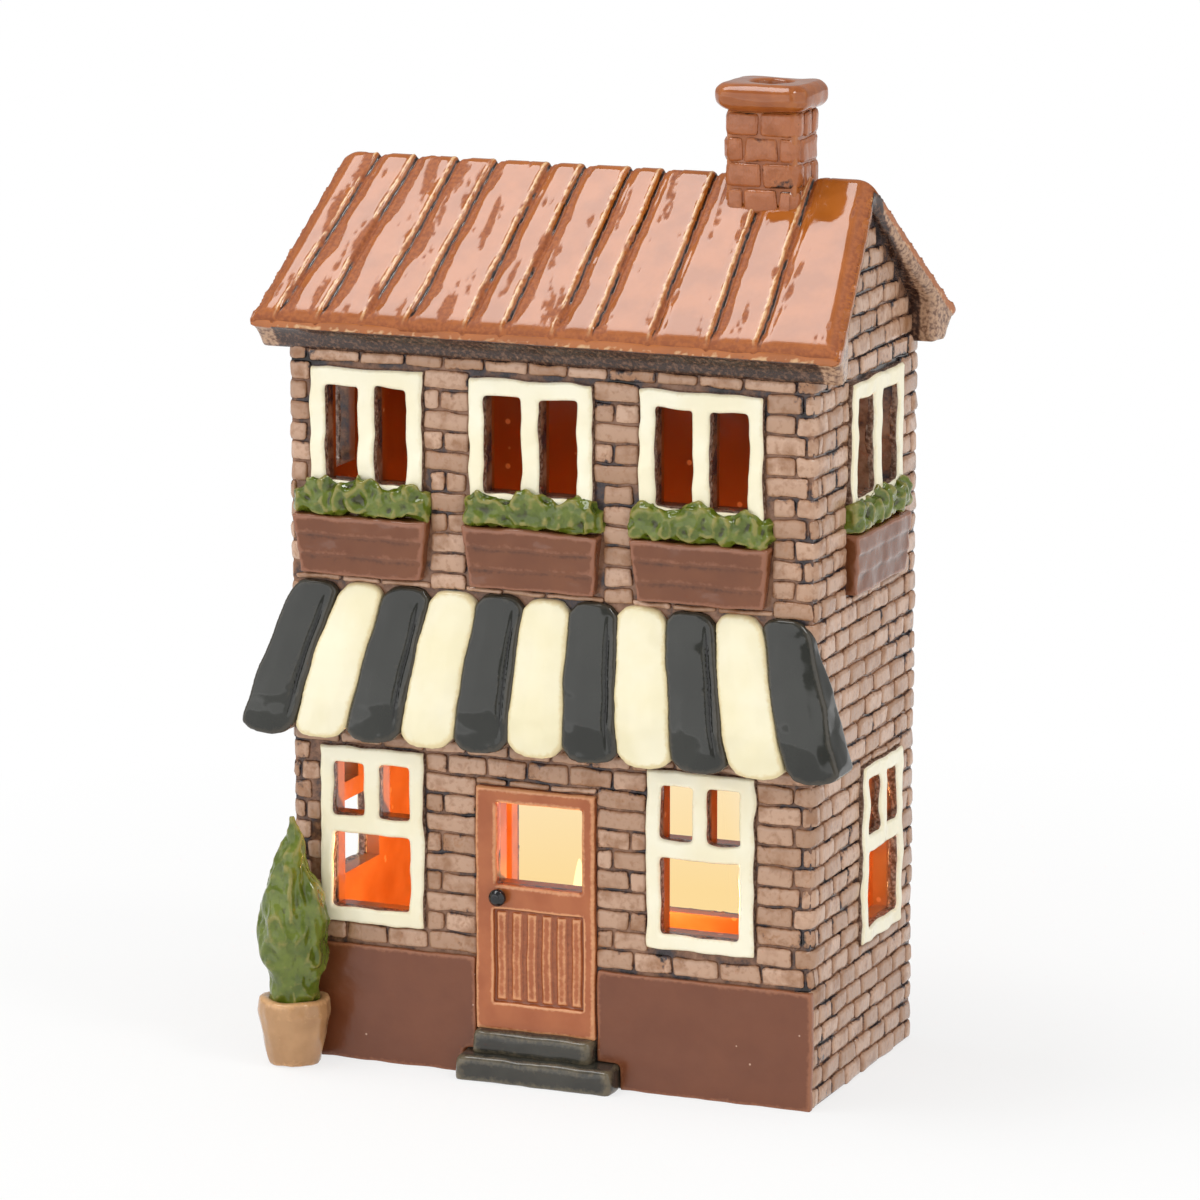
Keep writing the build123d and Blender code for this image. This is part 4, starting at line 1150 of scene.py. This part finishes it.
# Charred cotton: matt black with paler threads.
charred_cotton = clouded("charred_cotton", "#1E1814", "#4A3D31", 0.5, 0.9)
piece = turned("tealight_cup_pressed", cup_low, cup_high, axis, CUP_SIDES, CUP_WALL, cup_depth, 0.12)
finish_piece(piece, aluminium, ["tealight_cup"], "tealight")
piece = turned("tealight_wax_poured", disc_high, wax_high, axis, CUP_SIDES, 5.0, 0.5, 0.3)
finish_piece(piece, candle_wax, ["tealight_wax"], "tealight")
piece = turned("wick_sustainer_stamped", disc_low, disc_high, axis, DISC_SIDES, 2.0, 0.1, 0.05)
finish_piece(piece, tinned_steel, ["wick_sustainer"], "tealight")
piece = turned("wick_braided", wick_low, wick_high, axis, WICK_SIDES, 0.25, 0.2, 0.1)
finish_piece(piece, charred_cotton, ["wick"], "tealight")


# Flame
# The tealight burns: a drop of yellow fire round the end of the wick, which lights the inside of
# the house. It rides with the tealight.

FLAME_TIP = 44.6
FLAME_FOOT = wick_high.z / MM - 2.0
FLAME_HALF = 2.2
FLAME_LEAN = 0.3
FLAME_GLOW = 1.7
FLAME_STOPS = ((0.1, "#FFC877"), (0.4, "#FFF4D6"), (0.75, "#FFE0A0"))
CANDLE_COLOR = "#FFBE74"
CANDLE_POWER = 0.16
CANDLE_SIZE = 3.0


def flame_fire():
    """Glowing gas: nearly white in the middle, yellow at its tip, and clear where it thins out."""
    material, tree, shader, place = new_material("candle_fire")
    tree.nodes.remove(shader)
    height = add_node(tree, "SeparateXYZ", {"Vector": place})["Z"]
    span = {"Value": height, "From Min": FLAME_FOOT * MM, "From Max": FLAME_TIP * MM}
    climb = add_node(tree, "MapRange", span)[0]
    color = add_node(tree, "ValToRGB", {"Fac": climb}, stops=FLAME_STOPS)["Color"]
    fire = add_node(tree, "Emission", {"Color": color, "Strength": FLAME_GLOW})[0]
    clear = add_node(tree, "BsdfTransparent")[0]
    edge = add_node(tree, "LayerWeight", {"Blend": 0.4})["Facing"]
    fade = add_node(tree, "MapRange", {"Value": edge, "From Min": 0.3, "From Max": 0.95})[0]
    mixed = add_node(tree, "MixShader", {0: fade, 1: fire, 2: clear})[0]
    tree.links.new(mixed, tree.nodes["Material Output"].inputs["Surface"])
    return material


bpy.ops.object.select_all(action="DESELECT")
bpy.ops.mesh.primitive_uv_sphere_add(segments=32, ring_count=24, radius=1.0)
flame = bpy.context.active_object
flame.name = "candle_flame"
for vertex in flame.data.vertices:
    climb = (vertex.co.z + 1) / 2
    narrow = FLAME_HALF * (1.2 - 0.7 * climb**2)
    height = FLAME_FOOT + (FLAME_TIP - FLAME_FOOT) * climb
    aside = Vector((vertex.co.x * narrow - FLAME_LEAN * climb, vertex.co.y * narrow, height))
    vertex.co = Vector((axis.x, axis.y, 0)) + aside * MM
bpy.ops.object.shade_smooth()
flame.data.materials.append(flame_fire())
flame.visible_shadow = False
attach(flame, "tealight")
candle = bpy.data.lights.new("candlelight", "POINT")
candle.color = linear(CANDLE_COLOR)[:3]
candle.energy = CANDLE_POWER
candle.shadow_soft_size = CANDLE_SIZE * MM
candle_place = bpy.data.objects.new("candlelight", candle)
bpy.context.collection.objects.link(candle_place)
candle_place.location = (axis.x, axis.y, (FLAME_FOOT + FLAME_TIP) / 2 * MM)
candle_place.parent = flame


# Stage
# White paper under the house, with the candle's beam on it behind the back opening. A soft box
# hangs overhead and one stands at each side, a small one at the upper right gives the glaze its
# sparks, and the camera stands where the photograph was taken from.

PAPER = "#F4F4F2"
PAPER_SIZE = 8.0
SHADOW_FROM, SHADOW_TO, SHADOW_WHITE = 0.1, 0.3, 0.72
GLOW_PLACE = (0.0028, 0.0012, 0.0)
GLOW_TURN = math.radians(22.6)
GLOW_SIDES = (0.066, 0.028)
GLOW_START = (0.025, 0.11)
GLOW_END = (0.42, 0.28)
GLOW_FALL = (0.14, 0.42)
GLOW_STOPS = ((0.0, "#FDDC9C"), (1.0, "#FFF1D4"))
LAMP_AIM = Vector((0, 0, 0.1))
LAMPS = (
    ("overhead_box", (-0.36, -0.12, 1.1), 0.52, 0.52, 4.7),
    ("front_box", (-0.7, -1.15, 0.5), 2.4, 1.0, 8.0),
    ("right_box", (1.2, -0.35, 0.6), 1.8, 1.5, 6.0),
    ("spark_box", (0.62, -0.2, 1.15), 0.2, 0.2, 1.9),
)
ROOM_LIGHT = 0.48
CAMERA_TURN = math.radians(22.581)
CAMERA_RISE = math.radians(11.892)
CAMERA_DISTANCE = 1.3469
CAMERA_AIM = Vector((-0.001142, 0, 0.102084))
FOCAL_PIXELS = 6062.812
PHOTO_PIXELS = 1200


def white_paper():
    """White paper that is seen as white but for the shadow near the house and the candle's warm beam."""
    material, tree, shader, place = new_material("white_paper")
    tree.nodes.remove(shader)
    reach = add_node(tree, "VectorMath", {0: place}, operation="LENGTH")["Value"]
    span = {"Value": reach, "From Min": SHADOW_FROM, "From Max": SHADOW_TO, "To Min": SHADOW_WHITE}
    bright = add_node(tree, "MapRange", span)[0]
    along = {"Vector": place, "Location": GLOW_PLACE, "Rotation": (0, 0, GLOW_TURN)}
    beam = add_node(tree, "Mapping", along, vector_type="TEXTURE")[0]
    axes = add_node(tree, "SeparateXYZ", {"Vector": beam})
    across = add_node(tree, "Math", {0: axes["X"]}, operation="ABSOLUTE")[0]
    glow = 1.0
    for value, (none, full) in ((across, GLOW_SIDES), (axes["Y"], GLOW_START), (axes["Y"], GLOW_END)):
        span = {"Value": value, "From Min": none, "From Max": full}
        part = add_node(tree, "MapRange", span, interpolation_type="SMOOTHSTEP")[0]
        glow = add_node(tree, "Math", {0: part, 1: glow}, operation="MULTIPLY")[0]
    span = {"Value": reach, "From Min": GLOW_FALL[0], "From Max": GLOW_FALL[1]}
    fall = add_node(tree, "MapRange", span)[0]
    lit = add_node(tree, "ValToRGB", {"Fac": fall}, stops=GLOW_STOPS)["Color"]
    warm = add_node(tree, "Mix", {0: glow, 6: (1, 1, 1, 1), 7: lit}, data_type="RGBA")[2]
    rays = add_node(tree, "LightPath")
    seen = rays["Is Camera Ray"]
    for other in (rays["Is Glossy Ray"], rays["Is Transmission Ray"]):
        seen = add_node(tree, "Math", {0: seen, 1: other}, operation="MAXIMUM")[0]
    bright = add_node(tree, "Math", {0: bright, 1: glow}, operation="MAXIMUM")[0]
    share = add_node(tree, "Math", {0: seen, 1: bright}, operation="MULTIPLY")[0]
    paper = add_node(tree, "BsdfDiffuse", {"Color": linear(PAPER)})[0]
    white = add_node(tree, "Emission", {"Color": warm, "Strength": 1.0})[0]
    mixed = add_node(tree, "MixShader", {0: share, 1: paper, 2: white})[0]
    tree.links.new(mixed, tree.nodes["Material Output"].inputs["Surface"])
    return material


bpy.ops.object.select_all(action="DESELECT")
bpy.ops.mesh.primitive_plane_add(size=PAPER_SIZE)
floor = bpy.context.active_object
floor.name = "paper_floor"
floor.data.materials.append(white_paper())
for name, place, width, height, power in LAMPS:
    lamp = bpy.data.lights.new(name, "AREA")
    lamp.shape = "RECTANGLE"
    lamp.size = width
    lamp.size_y = height
    lamp.energy = power
    stand = bpy.data.objects.new(name, lamp)
    bpy.context.collection.objects.link(stand)
    stand.location = place
    stand.rotation_euler = (LAMP_AIM - Vector(place)).to_track_quat("-Z", "Y").to_euler()
world = bpy.data.worlds.new("studio")
bpy.context.scene.world = world
world.use_nodes = True
room = world.node_tree
rays = add_node(room, "LightPath")
seen = {"Value": rays["Is Camera Ray"], "To Min": ROOM_LIGHT, "To Max": 1.0}
strength = add_node(room, "MapRange", seen)[0]
room.nodes["Background"].inputs["Color"].default_value = (1, 1, 1, 1)
room.links.new(strength, room.nodes["Background"].inputs["Strength"])
back = Vector((
    math.sin(CAMERA_TURN) * math.cos(CAMERA_RISE),
    -math.cos(CAMERA_TURN) * math.cos(CAMERA_RISE),
    math.sin(CAMERA_RISE),
))
camera_data = bpy.data.cameras.new("camera")
camera_data.sensor_width = 36.0
camera_data.lens = FOCAL_PIXELS / PHOTO_PIXELS * camera_data.sensor_width
camera_data.clip_start = 0.05
camera = bpy.data.objects.new("camera", camera_data)
bpy.context.collection.objects.link(camera)
camera.location = CAMERA_AIM + back * CAMERA_DISTANCE
camera.rotation_euler = (-back).to_track_quat("-Z", "Y").to_euler()
bpy.context.scene.camera = camera
bpy.context.scene.view_settings.view_transform = "Standard"
